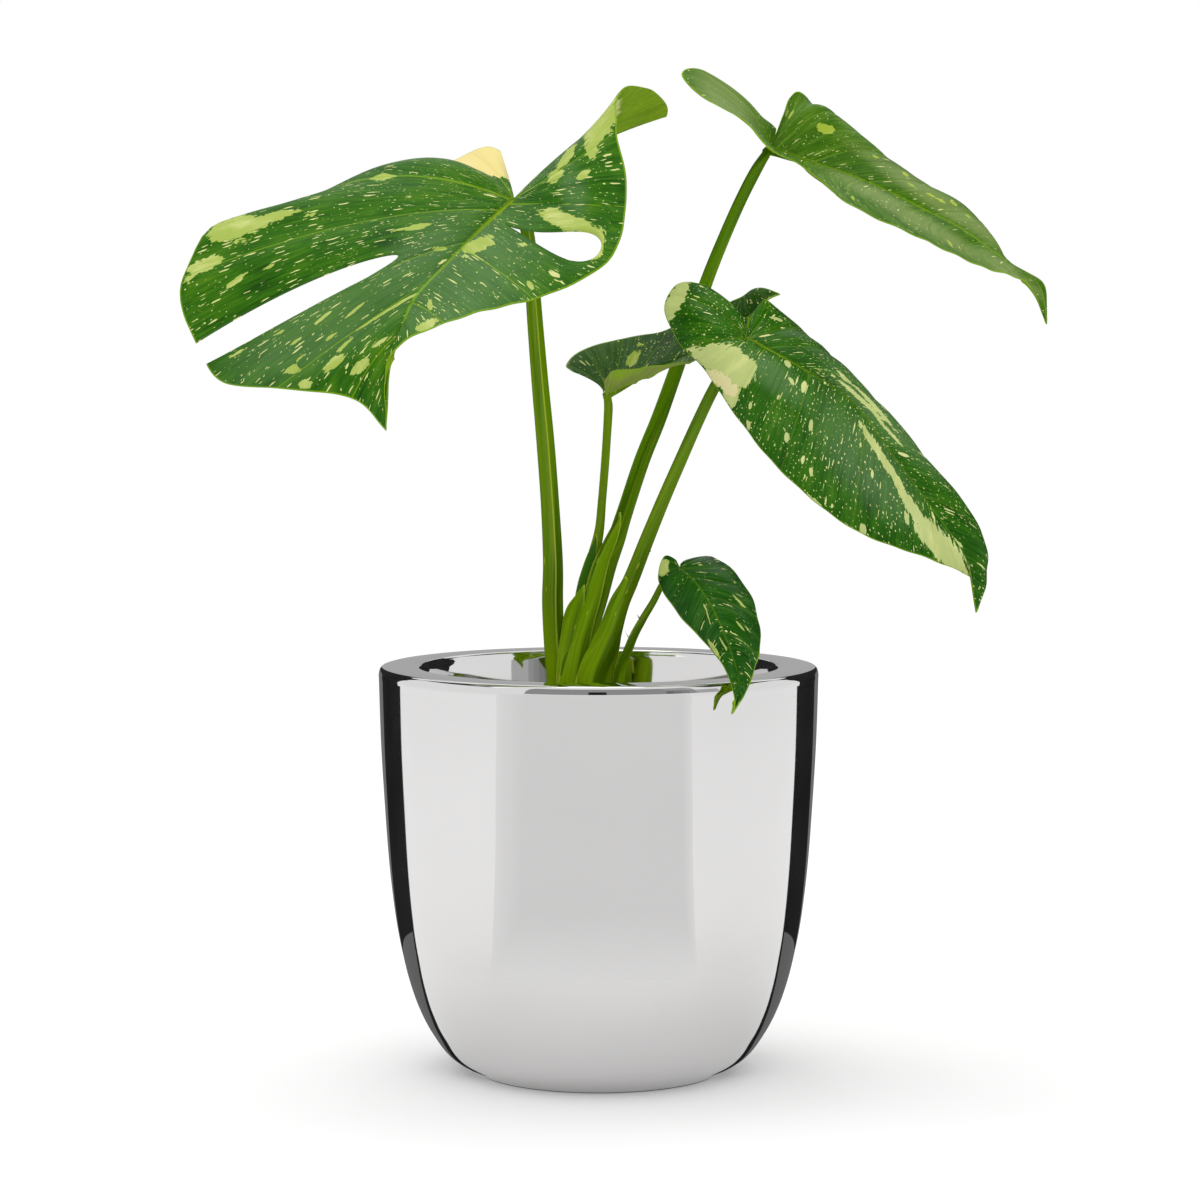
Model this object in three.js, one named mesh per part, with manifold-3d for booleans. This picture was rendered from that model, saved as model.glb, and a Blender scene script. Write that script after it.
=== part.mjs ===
// A young variegated monstera in a polished steel planter.
// Millimetres, +Z up. The origin is on the planter's axis, at the surface it stands on. The front is -Y.

import * as THREE from "three";
import { mergeVertices } from "three/addons/utils/BufferGeometryUtils.js";
import Module from "manifold-3d";

const wasm = await Module();
wasm.setup();

// Driving dimensions of the planter, its liner and the soil.
const RIM_RADIUS = 110;
const POT_HEIGHT = 204.6;
const RIM_WIDTH = 20.5;
const RIM_FILLET = 3;
const LIP_FILLET = 1.5;
const SHEET = 1.3;
const SKIRT_DEPTH = 34;
const SKIRT_TAPER = 4;
const BASE_RADIUS = 60;
const LINER_BASE_RADIUS = 54;
const LINER_TOP_RADIUS = 80;
const LINER_TOP = 180;
const LINER_WALL = 1.2;
const LINER_LIP = 3.2;
const DRAIN_HOLES = 6;
const DRAIN_RADIUS = 5;
const DRAIN_CIRCLE = 36;
const SOIL_TOP = 168;
const CROWN_ACROSS = 24;
const CROWN_DEEP = 18;
const CROWN_BASE = 118;
const CROWN_SHOULDER = 172;
const CROWN_TOP = 184;
const CROWN_X = -5;
const SEAT = 0.3;

// Driving dimensions of the foliage.
const BLADE = 0.7;
const RIB_RELIEF = 1.1;
const ROUND_SIDES = 48;
const LINER_SIDES = 36;
const STALK_SIDES = 10;
const RIB_STEP = 0.09;
const LOBE_STEPS = 3;
const VEIN_STEPS = 7;

// Points on the plant are read as [across, up, near]: across and up are millimetres on the upright plane
// through the planter's axis, seen from this eye, and near is how far in front of that plane the point lies.
const EYE_BACK = 1870;
const EYE_UP = 378;

function place([across, up, near]) {
  const shrink = 1 - near / EYE_BACK;
  return new THREE.Vector3(across * shrink, -near, EYE_UP + (up - EYE_UP) * shrink);
}

// The outer wall of the planter, from the edge of its flat base to the rim: [radius, height].
const WALL_POINTS = [
  [60, 0], [75, 8.8], [84.3, 21], [90.4, 33], [94.8, 45.5], [98.2, 59],
  [101.8, 78], [105, 105], [107.3, 137], [109, 168], [110, 202.4],
];

// Each leaf has a midrib from the stalk to the tip, and two sides. A side is a fan of veins, from the sinus
// round to the tip. A vein starts part of the way along the midrib, and has a point at its middle and one on
// the margin. A cut is a split or a hole that follows one of the veins. The right side lies on the right of
// somebody who looks along the midrib to the tip, from above.
const LEAVES = {
  leaf_a: {
    midrib: [
      [-42, 437, 18], [-60, 421, 40], [-75, 406, 60], [-91, 389, 80], [-98, 373, 95], [-104, 353, 107],
      [-106, 322, 114],
    ],
    right: [
      [0, [-44.5, 447, 0], [-49, 462, -30]],
      [0, [-50, 451, -4], [-60, 461.5, -38]],
      [0, [-60, 450.5, -5], [-77, 453, -45]],
      [0, [-80, 456, -4], [-108, 438, -45]],
      [0, [-104, 452, 8], [-150, 422, -25]],
      [0.02, [-112, 440, 28], [-188, 425, 22]],
      [0.04, [-117, 430, 38], [-202, 408, 38]],
      [0.08, [-122, 419, 50], [-208, 387, 54]],
      [0.2, [-120, 400, 66], [-198, 361, 66]],
      [0.28, [-122, 388, 75], [-187, 346, 76]],
      [0.44, [-122, 371, 86], [-160, 343, 88]],
      [0.7, [-111, 358, 102], [-123, 338, 106]],
      [1, [-106, 322, 114], [-106, 322, 114]],
    ],
    left: [
      [0, [-8, 461, -42], [39, 479, -45]],
      [0, [-10, 465, -22], [25, 491, -30]],
      [0, [-10, 463, -2], [10.5, 490, -8]],
      [0, [-13, 455, 14], [9, 470, 14]],
      [0, [-13, 442, 26], [14, 443, 34]],
      [0.1, [-25, 415, 45], [7, 409, 58]],
      [0.2, [-41, 403, 59], [-24, 390, 72]],
      [0.48, [-79, 385, 80], [-69, 378, 92]],
      [0.75, [-101, 365, 103], [-103, 360, 108]],
      [1, [-106, 322, 114], [-106, 322, 114]],
    ],
    cuts: [
      { side: "right", vein: 8, from: 0.34, to: 1, before: 0.42, after: 0.7 },
      { side: "left", vein: 5, from: 0.12, to: 0.9, before: 0.3, after: 0.28 },
    ],
  },
  leaf_b: {
    midrib: [
      [85, 462, -48], [109, 454, -46], [134, 445, -42], [161, 432, -38], [182, 421, -34], [203, 406, -32],
      [219, 394, -30], [223, 375, -30],
    ],
    right: [
      [0, [87, 467, -55], [88, 472, -62]],
      [0, [83, 472, -56], [78, 479, -62]],
      [0, [75, 482, -56], [52, 500, -60]],
      [0, [68, 482, -48], [41, 498, -50]],
      [0, [70, 478, -40], [53, 486, -35]],
      [0, [79, 469, -33], [70, 477, -22]],
      [0, [87, 461, -27], [87, 460, -9]],
      [0.03, [94, 457, -24], [103, 452, 0]],
      [0.2, [113, 446, -18], [125, 434, 4]],
      [0.38, [142, 432, -16], [159, 418, 2]],
      [0.58, [175, 415, -18], [189, 404, -4]],
      [0.8, [208, 399, -25], [213, 395, -22]],
      [1, [223, 375, -30], [223, 375, -30]],
    ],
    left: [
      [0, [88, 469, -52], [91, 478, -58]],
      [0, [90, 474, -56], [95, 487, -66]],
      [0, [95, 477, -60], [101, 488.5, -74]],
      [0, [108, 482, -66], [116, 470, -88]],
      [0.05, [124, 470, -68], [136, 452, -94]],
      [0.2, [150, 450.5, -66], [163, 436, -88]],
      [0.4, [178, 434.5, -56], [186, 424, -72]],
      [0.56, [192, 421, -46], [199, 410, -52]],
      [0.7, [203, 406, -38], [205, 404.5, -40]],
      [0.86, [219, 394, -32], [221, 395, -34]],
      [1, [223, 375, -30], [223, 375, -30]],
    ],
    cuts: [],
  },
  leaf_c: {
    midrib: [
      [74, 368, 34], [100, 354, 50], [126, 337, 62], [145, 312, 72], [165, 285, 80], [183, 259, 86],
      [189, 231, 90],
    ],
    right: [
      [0, [69, 382, 24], [50, 396, 10]],
      [0, [60, 384, 24], [38, 394, 8]],
      [0, [56, 378, 30], [33, 382, 12]],
      [0, [59, 369, 38], [40, 366, 22]],
      [0, [66, 360, 46], [54, 351, 34]],
      [0.06, [75, 350, 54], [66, 333, 46]],
      [0.2, [99, 328, 66], [91, 302, 60]],
      [0.4, [130, 300, 74], [127, 273, 68]],
      [0.66, [167, 271, 80], [168, 257, 76]],
      [0.86, [187, 249, 86], [188, 247, 84]],
      [1, [189, 231, 90], [189, 231, 90]],
    ],
    left: [
      [0, [76, 378, 23], [81, 386, 11]],
      [0, [82, 378, 21], [85, 386, 7]],
      [0, [90, 372, 24], [100, 373, -4]],
      [0.06, [107, 363, 34], [118, 356, 4]],
      [0.2, [130, 343, 48], [145, 326, 22]],
      [0.4, [155, 316, 62], [171, 295, 40]],
      [0.64, [183, 280, 74], [192, 268, 62]],
      [0.86, [191, 250, 84], [193, 246, 82]],
      [1, [189, 231, 90], [189, 231, 90]],
    ],
    cuts: [],
  },
  leaf_d: {
    midrib: [
      [4, 341, 0], [17, 347, -3], [32, 354, -4], [47, 361, -5], [62, 369, -6], [76, 380, -6],
      [84, 389, -6], [90, 390, -4],
    ],
    right: [
      [0, [3, 343, 7], [3, 348, 14]],
      [0, [6, 344, 12], [8, 352, 24]],
      [0.05, [13, 346, 15], [20, 353, 28]],
      [0.2, [26, 349, 13], [34, 355, 26]],
      [0.42, [44, 356, 9], [47, 357, 20]],
      [0.65, [62, 363, 5], [66, 364, 12]],
      [0.85, [79, 382, -4], [81, 385, -1]],
      [1, [90, 390, -4], [90, 390, -4]],
    ],
    left: [
      [0, [-3, 347, -3], [-15, 352, -6]],
      [0, [-4, 349, -7], [-16, 355, -12]],
      [0, [-1, 351, -12], [-10, 361, -24]],
      [0, [7, 353, -16], [8, 367, -33]],
      [0.1, [22, 358, -20], [30, 371, -36]],
      [0.35, [46, 367, -16], [52, 379, -28]],
      [0.6, [65, 377, -14], [68, 387, -22]],
      [0.8, [79, 389, -9], [80, 393, -12]],
      [1, [90, 390, -4], [90, 390, -4]],
    ],
    cuts: [],
  },
  leaf_e: {
    midrib: [
      [40, 254, 36], [48, 247, 50], [55, 237, 62], [61, 225, 73], [66, 212, 83], [70, 199, 91],
      [69, 189, 97], [67, 180, 100],
    ],
    right: [
      [0, [39, 257, 33], [37, 258, 30]],
      [0, [37, 257, 32], [33, 259, 27]],
      [0, [35, 253, 34], [30, 251, 28]],
      [0, [36, 249, 38], [31, 244, 34]],
      [0.15, [45, 237, 53], [41, 229, 52]],
      [0.4, [56, 221, 68], [54, 215, 68]],
      [0.66, [65, 206, 85], [63, 203, 87]],
      [0.86, [69, 191, 97], [68, 188, 99]],
      [1, [67, 180, 100], [67, 180, 100]],
    ],
    left: [
      [0, [43, 257, 32], [46, 257, 26]],
      [0, [49, 257, 34], [57, 259, 22]],
      [0.03, [58, 251, 42], [68.5, 250.5, 28]],
      [0.15, [65, 242, 52], [77.5, 236, 42]],
      [0.35, [70, 227, 66], [81, 217, 62]],
      [0.6, [72, 208, 81], [78, 202, 80]],
      [0.84, [71, 192, 94], [73, 189, 95]],
      [1, [67, 180, 100], [67, 180, 100]],
    ],
    cuts: [],
  },
};

// Each stalk rises through these stations: [across, up, near, half width, half depth]. The wide stations at
// the foot are its sheath, which clasps the next stalk.
const STALKS = {
  petiole_a: [
    [-18, 170, -8.5, 6, 4], [-20.5, 197, -8.5, 5.5, 4], [-22.3, 217, -8, 5.2, 4.3], [-23, 237, -6, 5.3, 4.7],
    [-22.8, 257, -3, 5, 4.8], [-24.3, 287, -1, 4.6, 4.4], [-26.5, 317, 1, 4.5, 4.3],
    [-29.2, 347, 3, 4.2, 4], [-31.6, 377, 5, 3.9, 3.8], [-34, 410, 7, 3.5, 3.4], [-36.5, 426, 9.5, 3.1, 3],
    [-39.7, 432.8, 13.3, 2.3, 2.3], [-41.1, 434.9, 15.5, 1.2, 1.2],
  ],
  petiole_b: [
    [-9, 170, 0, 7, 4.2], [-12.5, 197, 0, 7, 4.2], [-8, 217, -2, 6.3, 4.2], [-1.5, 237, -7, 5.8, 4.2],
    [3.5, 255, -13, 5.6, 4.2], [8.8, 268, -18, 4.6, 4.1], [13, 281, -22, 4.1, 4], [21.6, 307, -30, 4, 4],
    [29.6, 327, -35, 3.9, 3.9], [36.8, 347, -40, 3.7, 3.7], [45.5, 372, -43, 3.5, 3.5],
    [54, 397, -45, 3.3, 3.3], [62, 417, -46.5, 3.1, 3.1], [70.4, 436, -47.5, 3, 3],
    [77.5, 450, -48, 2.9, 2.9], [82.7, 458.4, -48, 2.3, 2.3], [84.3, 460.7, -48, 1.2, 1.2],
  ],
  petiole_c: [
    [-1, 170, 10, 7, 4.4], [-2, 197, 10, 8.8, 4.4], [2.5, 212, 10, 7.5, 4.3], [6.5, 224, 9.5, 5.8, 4.2],
    [10.5, 236, 9.5, 5, 4], [16, 247, 10, 4, 3.8], [23.9, 267, 12, 3.6, 3.5], [32.1, 287, 14, 3.3, 3.3],
    [40.8, 307, 17, 3.1, 3.1], [49.7, 327, 20, 2.9, 2.9], [57.5, 343, 24, 2.8, 2.8],
    [66, 357, 28, 2.7, 2.7], [71.7, 365, 31.1, 2.2, 2.2], [73.2, 367, 32.5, 1.2, 1.2],
  ],
  petiole_d: [
    [-8, 170, -13, 3, 2.8], [-9, 200, -13, 3.4, 2.8], [-8.5, 225, -12.5, 4.1, 2.6],
    [-6, 243, -17, 4, 2.5], [-3, 257, -21, 3.3, 2.4], [0.3, 272, -19, 2.4, 2.3], [1.7, 287, -16, 2.1, 2.1],
    [3.2, 305, -12, 2.1, 2.1], [4.2, 320, -7.5, 2.1, 2.1], [4.9, 333, -3, 2.2, 2.2],
    [4.6, 337.6, -1.4, 2, 2], [4.3, 339, -0.8, 1.2, 1.2],
  ],
  petiole_e: [
    [9.5, 170, 11, 2.6, 2.6], [10.4, 197, 12, 2.6, 2.6], [16.2, 216, 15, 2.2, 2.2],
    [21.7, 227, 16.5, 1.9, 1.9], [27.6, 237, 18, 1.7, 1.7], [32.5, 246.5, 21.5, 1.5, 1.5],
    [37.4, 252.4, 29.2, 1.3, 1.3], [39.2, 253.5, 34, 0.9, 0.9],
  ],
};

const STEEL = { color: 0xd9dadb, roughness: 0.08, metalness: 1 };
const LINER = { color: 0x17181a, roughness: 0.55, metalness: 0 };
const SOIL = { color: 0x3a2a1e, roughness: 0.95, metalness: 0 };
const CROWN = { color: 0x6c7a35, roughness: 0.6, metalness: 0 };
const STALK = { color: 0x6f9a1f, roughness: 0.4, metalness: 0 };
const LEAF = { color: 0x2f6b22, roughness: 0.38, metalness: 0 };

// Smooth curve through rows of numbers or vectors, at a place counted in rows.
function along(rows, at) {
  const last = rows.length - 1;
  const index = Math.min(Math.floor(at), last - 1);
  const part = at - index;
  const start = rows[index];
  const end = rows[index + 1];
  const before = rows[Math.max(index - 1, 0)];
  const after = rows[Math.min(index + 2, last)];
  const leave = index > 0 ? end.clone().sub(before).multiplyScalar(0.5) : end.clone().sub(start);
  const arrive = index + 2 <= last ? after.clone().sub(start).multiplyScalar(0.5) : end.clone().sub(start);
  const square = part * part;
  const cube = square * part;
  return start.clone().multiplyScalar(2 * cube - 3 * square + 1)
    .addScaledVector(leave, cube - 2 * square + part)
    .addScaledVector(end, 3 * square - 2 * cube)
    .addScaledVector(arrive, cube - square);
}

// The value of a rising or level row of numbers at a place counted in rows, and the place of a value.
function valueAt(row, at) {
  const index = Math.min(Math.floor(at), row.length - 2);
  return row[index] + (row[index + 1] - row[index]) * (at - index);
}

function placeOf(row, value, first) {
  for (let index = first; index < row.length - 1; index += 1) {
    if (value <= row[index + 1] + 1e-9) {
      return index + (value - row[index]) / (row[index + 1] - row[index]);
    }
  }
  return row.length - 1;
}

// Indexed vertices and triangles, gathered with shared corners merged.
class Surface {
  constructor() {
    this.points = [];
    this.known = new Map();
    this.faces = [];
  }

  add(point, rib = 0) {
    const key = [point.x, point.y, point.z].map((value) => Math.round(value * 500)).join();
    if (!this.known.has(key)) {
      this.known.set(key, this.points.length);
      this.points.push({ point, rib });
    }
    return this.known.get(key);
  }

  face(a, b, c) {
    if (a !== b && b !== c && c !== a) {
      this.faces.push([a, b, c]);
    }
  }

  normals() {
    const sums = this.points.map(() => new THREE.Vector3());
    for (const [a, b, c] of this.faces) {
      const first = this.points[b].point.clone().sub(this.points[a].point);
      const second = this.points[c].point.clone().sub(this.points[a].point);
      const normal = first.cross(second);
      [a, b, c].forEach((corner) => sums[corner].add(normal));
    }
    return sums.map((sum) => sum.normalize());
  }

  // The surface as a closed blade: the same triangles on both faces, with a wall round every edge.
  thicken(blade, relief) {
    const normals = this.normals();
    const count = this.points.length;
    const upper = this.points.map(({ point }, i) => point.clone().addScaledVector(normals[i], blade / 2));
    const lower = this.points.map(({ point, rib }, i) => (
      point.clone().addScaledVector(normals[i], -blade / 2 - relief * rib)));
    const open = new Map();
    for (const [a, b, c] of this.faces) {
      for (const [from, to] of [[a, b], [b, c], [c, a]]) {
        const back = `${to},${from}`;
        if (open.has(back)) {
          open.delete(back);
        } else {
          open.set(`${from},${to}`, [from, to]);
        }
      }
    }
    const faces = [];
    for (const [a, b, c] of this.faces) {
      faces.push([a, b, c], [c + count, b + count, a + count]);
    }
    for (const [from, to] of open.values()) {
      faces.push([from, from + count, to + count], [from, to + count, to]);
    }
    return geometryOf([...upper, ...lower], faces);
  }
}

function geometryOf(points, faces) {
  const geometry = new THREE.BufferGeometry().setFromPoints(points);
  geometry.setIndex(faces.flat());
  geometry.computeVertexNormals();
  return geometry;
}

// How far a cut opens at a place along its vein: a split widens to the margin, a hole closes again.
function opening(cut, at) {
  if (at <= cut.from || (cut.to < 1 && at >= cut.to)) {
    return 0;
  }
  const part = (at - cut.from) / (cut.to - cut.from);
  if (cut.to < 1) {
    return 2.94 * part ** 1.6 * (1 - part) ** 0.45;
  }
  return Math.sqrt(part) * (1.3 - 0.85 * part);
}

function leafGeometry({ midrib, left, right, cuts }) {
  const surface = new Surface();
  const rib = midrib.map(place);
  const ribAt = (start) => along(rib, start * (rib.length - 1));
  const sides = { left, right };
  const starts = [...new Set([...left, ...right].map(([start]) => start))].sort((a, b) => a - b);
  const ribPlaces = [starts[starts.length - 1]];
  for (let i = starts.length - 2; i >= 0; i -= 1) {
    const steps = Math.ceil((starts[i + 1] - starts[i]) / RIB_STEP);
    for (let step = steps - 1; step >= 0; step -= 1) {
      ribPlaces.unshift(starts[i] + ((starts[i + 1] - starts[i]) * step) / steps);
    }
  }
  for (const [side, veins] of Object.entries(sides)) {
    const start = veins.map(([from]) => from);
    const margin = veins.map(([, , end]) => place(end));
    const pull = veins.map(([from, middle], i) => place(middle).multiplyScalar(2)
      .addScaledVector(ribAt(from), -0.5).addScaledVector(margin[i], -0.5));
    const pointAt = (vein, at) => ribAt(valueAt(start, vein)).multiplyScalar((1 - at) ** 2)
      .addScaledVector(along(pull, vein), 2 * at * (1 - at))
      .addScaledVector(along(margin, vein), at * at);
    const fan = start.lastIndexOf(0);
    const lobe = Array.from({ length: fan * LOBE_STEPS }, (_, i) => ({ vein: i / LOBE_STEPS, root: 0 }));
    const body = ribPlaces.map((root) => ({ vein: placeOf(start, root, fan), root }));
    const mine = cuts.filter((cut) => cut.side === side);
    const ends = mine.flatMap((cut) => [cut.from, cut.to]);
    const rows = Array.from({ length: VEIN_STEPS + 1 }, (_, i) => i / VEIN_STEPS)
      .filter((at) => at === 0 || at === 1 || ends.every((end) => Math.abs(end - at) > 0.05));
    const levels = [...new Set([...rows, ...ends])].sort((a, b) => a - b);
    const columnAt = ({ vein, root }, edge) => levels.map((at) => {
      if (at === 0) {
        return surface.add(ribAt(root), 1 - 0.8 * root);
      }
      let moved = vein;
      for (const cut of mine) {
        const apart = vein - cut.vein;
        const way = Math.abs(apart) < 1e-6 ? edge : Math.sign(apart);
        const share = Math.max(0, 1 - Math.abs(apart) / 0.9);
        moved += way * opening(cut, at) * share * (way < 0 ? cut.before : cut.after);
      }
      return surface.add(pointAt(moved, at));
    });
    let previous = null;
    for (const column of [...lobe, ...body]) {
      const onCut = mine.some((cut) => Math.abs(column.vein - cut.vein) < 1e-6);
      const current = columnAt(column, -1);
      if (previous) {
        for (let i = 0; i < levels.length - 1; i += 1) {
          const corners = [previous[i], current[i], current[i + 1], previous[i + 1]];
          if (side === "right") {
            corners.reverse();
          }
          surface.face(corners[0], corners[1], corners[2]);
          surface.face(corners[0], corners[2], corners[3]);
        }
      }
      previous = onCut ? columnAt(column, 1) : current;
    }
  }
  return surface.thicken(BLADE, RIB_RELIEF);
}

// A stalk is an oval section carried up through its stations, with a flat cap at each end.
function stalkGeometry(stations) {
  const centres = stations.map(place);
  const widths = stations.map((station) => new THREE.Vector3(station[3], station[4], 0));
  const steps = (stations.length - 1) * 2;
  const points = [];
  const faces = [];
  for (let step = 0; step <= steps; step += 1) {
    const at = (step / steps) * (stations.length - 1);
    const centre = along(centres, at);
    const size = along(widths, at);
    const from = along(centres, Math.max(at - 0.25, 0));
    const tangent = along(centres, Math.min(at + 0.25, stations.length - 1)).sub(from).normalize();
    const wide = new THREE.Vector3(0, 1, 0).cross(tangent).normalize();
    const deep = tangent.clone().cross(wide).normalize();
    for (let side = 0; side < STALK_SIDES; side += 1) {
      const turn = (side / STALK_SIDES) * Math.PI * 2;
      points.push(centre.clone().addScaledVector(wide, Math.cos(turn) * size.x)
        .addScaledVector(deep, Math.sin(turn) * size.y));
    }
  }
  for (let step = 0; step < steps; step += 1) {
    for (let side = 0; side < STALK_SIDES; side += 1) {
      const a = step * STALK_SIDES + side;
      const b = step * STALK_SIDES + ((side + 1) % STALK_SIDES);
      faces.push([a, b, b + STALK_SIDES], [a, b + STALK_SIDES, a + STALK_SIDES]);
    }
  }
  const top = steps * STALK_SIDES;
  for (let side = 1; side < STALK_SIDES - 1; side += 1) {
    faces.push([0, side + 1, side], [top, top + side, top + side + 1]);
  }
  return geometryOf(points, faces);
}

// A round body turned about the upright axis from [radius, height] points.
function turned(profile, sides) {
  return new THREE.LatheGeometry(profile.map(([r, z]) => new THREE.Vector2(r, z)), sides).rotateX(Math.PI / 2);
}

function arc(centreRadius, centreHeight, size, fromDegrees, toDegrees, steps) {
  return Array.from({ length: steps + 1 }, (_, i) => {
    const turn = THREE.MathUtils.degToRad(fromDegrees + ((toDegrees - fromDegrees) * i) / steps);
    return [centreRadius + Math.cos(turn) * size, centreHeight + Math.sin(turn) * size];
  });
}

function potGeometry() {
  const wall = WALL_POINTS.map(([r, z]) => new THREE.Vector3(r, z, 0));
  const samples = Array.from({ length: 13 }, (_, i) => along(wall, (i / 12) * (wall.length - 1)));
  const outside = samples.map(({ x, y }) => [x, y]);
  const inside = [10, 8, 6, 4.6, 3.4, 2.2, 1].map((at) => {
    const { x, y } = along(wall, at);
    const rise = along(wall, Math.min(at + 0.2, wall.length - 1)).sub(along(wall, at - 0.2)).normalize();
    return [x - rise.y * SHEET, y + rise.x * SHEET];
  });
  const lipRadius = RIM_RADIUS - RIM_WIDTH;
  const foot = POT_HEIGHT - SKIRT_DEPTH;
  const footRadius = lipRadius - SKIRT_TAPER;
  return turned([
    [0, 0],
    ...outside.slice(0, -1),
    ...arc(RIM_RADIUS - RIM_FILLET, POT_HEIGHT - RIM_FILLET, RIM_FILLET, 0, 90, 3),
    ...arc(lipRadius + LIP_FILLET, POT_HEIGHT - LIP_FILLET, LIP_FILLET, 90, 180, 3),
    [footRadius, foot],
    [footRadius + SHEET, foot],
    [lipRadius + SHEET, POT_HEIGHT - LIP_FILLET],
    [lipRadius + LIP_FILLET, POT_HEIGHT - SHEET],
    [RIM_RADIUS - RIM_FILLET, POT_HEIGHT - SHEET],
    ...inside,
    [BASE_RADIUS - SHEET, SHEET],
    [0, SHEET],
  ], ROUND_SIDES);
}

// Solid for a join or a cut, from a closed geometry.
function solidOf(geometry) {
  const bare = geometry.clone();
  bare.deleteAttribute("normal");
  bare.deleteAttribute("uv");
  const merged = mergeVertices(bare, 1e-3);
  const index = merged.getIndex().array;
  const kept = [];
  for (let i = 0; i < index.length; i += 3) {
    const [a, b, c] = [index[i], index[i + 1], index[i + 2]];
    if (a !== b && b !== c && c !== a) {
      kept.push(a, b, c);
    }
  }
  const vertProperties = new Float32Array(merged.getAttribute("position").array);
  return new wasm.Manifold(new wasm.Mesh({ numProp: 3, vertProperties, triVerts: new Uint32Array(kept) }));
}

function geometryFrom(solid) {
  const { vertProperties, triVerts } = solid.getMesh();
  const geometry = new THREE.BufferGeometry();
  geometry.setAttribute("position", new THREE.BufferAttribute(new Float32Array(vertProperties), 3));
  geometry.setIndex(new THREE.BufferAttribute(new Uint32Array(triVerts), 1));
  return geometry;
}

// The liner's outer radius at a height.
function linerRadius(height) {
  const share = (height - SHEET - SEAT) / (LINER_TOP - SHEET - SEAT);
  return LINER_BASE_RADIUS + (LINER_TOP_RADIUS - LINER_BASE_RADIUS) * share;
}

function linerGeometry() {
  const low = SHEET + SEAT;
  const floor = low + LINER_WALL;
  const lip = LINER_TOP - LINER_WALL * 2;
  let solid = solidOf(turned([
    [0, low],
    [linerRadius(low), low],
    [linerRadius(lip), lip],
    [LINER_TOP_RADIUS + LINER_LIP, lip],
    [LINER_TOP_RADIUS + LINER_LIP, LINER_TOP],
    [LINER_TOP_RADIUS - LINER_WALL, LINER_TOP],
    [linerRadius(floor) - LINER_WALL, floor],
    [0, floor],
  ], LINER_SIDES));
  for (let i = 0; i < DRAIN_HOLES; i += 1) {
    const turn = (i / DRAIN_HOLES) * Math.PI * 2;
    const drill = new THREE.CylinderGeometry(DRAIN_RADIUS, DRAIN_RADIUS, 10, 10).rotateX(Math.PI / 2);
    drill.translate(Math.cos(turn) * DRAIN_CIRCLE, Math.sin(turn) * DRAIN_CIRCLE, low);
    solid = solid.subtract(solidOf(drill));
  }
  return geometryFrom(solid);
}

// The short stem, grown by a margin where it is used to cut its neighbours.
function crownGeometry(margin = 0) {
  const dome = arc(0, 0, 1, 0, 90, 5).map(([r, z]) => [
    r * (CROWN_ACROSS + margin),
    CROWN_SHOULDER + z * (CROWN_TOP + margin - CROWN_SHOULDER),
  ]);
  const profile = [
    [0, CROWN_BASE - margin],
    [CROWN_ACROSS * 0.6 + margin, CROWN_BASE - margin],
    [CROWN_ACROSS + margin, CROWN_BASE + 26],
    ...dome.slice(0, -1),
    [0, CROWN_TOP + margin],
  ];
  const shape = turned(profile, 28);
  shape.scale(1, (CROWN_DEEP + margin) / (CROWN_ACROSS + margin), 1);
  return shape.translate(CROWN_X, 0, 0);
}

// The hole for the stem is plain: its widest outline, straight down from the surface.
function soilGeometry() {
  const low = SHEET + SEAT + LINER_WALL + SEAT;
  const inner = (height) => linerRadius(height) - LINER_WALL - SEAT;
  const bed = solidOf(turned([
    [0, low],
    [inner(low), low],
    [inner(SOIL_TOP - 3), SOIL_TOP - 3],
    [inner(SOIL_TOP) - 6, SOIL_TOP],
    [0, SOIL_TOP],
  ], LINER_SIDES));
  const depth = SOIL_TOP + 5 - (CROWN_BASE - SEAT);
  const hole = new THREE.CylinderGeometry(CROWN_ACROSS + SEAT * 2, CROWN_ACROSS + SEAT * 2, depth, 28);
  hole.rotateX(Math.PI / 2).scale(1, (CROWN_DEEP + SEAT * 2) / (CROWN_ACROSS + SEAT * 2), 1);
  hole.translate(CROWN_X, 0, CROWN_BASE - SEAT + depth / 2);
  return geometryFrom(bed.subtract(solidOf(hole)));
}

function mesh(name, geometry, finish) {
  const piece = new THREE.Mesh(geometry, new THREE.MeshStandardMaterial(finish));
  piece.name = name;
  return piece;
}

const plant = new THREE.Group();
plant.add(mesh("pot", potGeometry(), STEEL));
plant.add(mesh("grow_pot", linerGeometry(), LINER));
plant.add(mesh("soil", soilGeometry(), SOIL));
plant.add(mesh("crown", crownGeometry(), CROWN));
const crownRoom = solidOf(crownGeometry(SEAT));
for (const [name, stations] of Object.entries(STALKS)) {
  const seated = solidOf(stalkGeometry(stations)).subtract(crownRoom);
  plant.add(mesh(name, geometryFrom(seated), STALK));
}
for (const [name, leaf] of Object.entries(LEAVES)) {
  plant.add(mesh(name, leafGeometry(leaf), LEAF));
}

export default plant;
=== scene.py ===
"""The looks of a young variegated monstera in a polished steel planter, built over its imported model."""

import logging
import math
from dataclasses import dataclass, field
from enum import Enum

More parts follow.
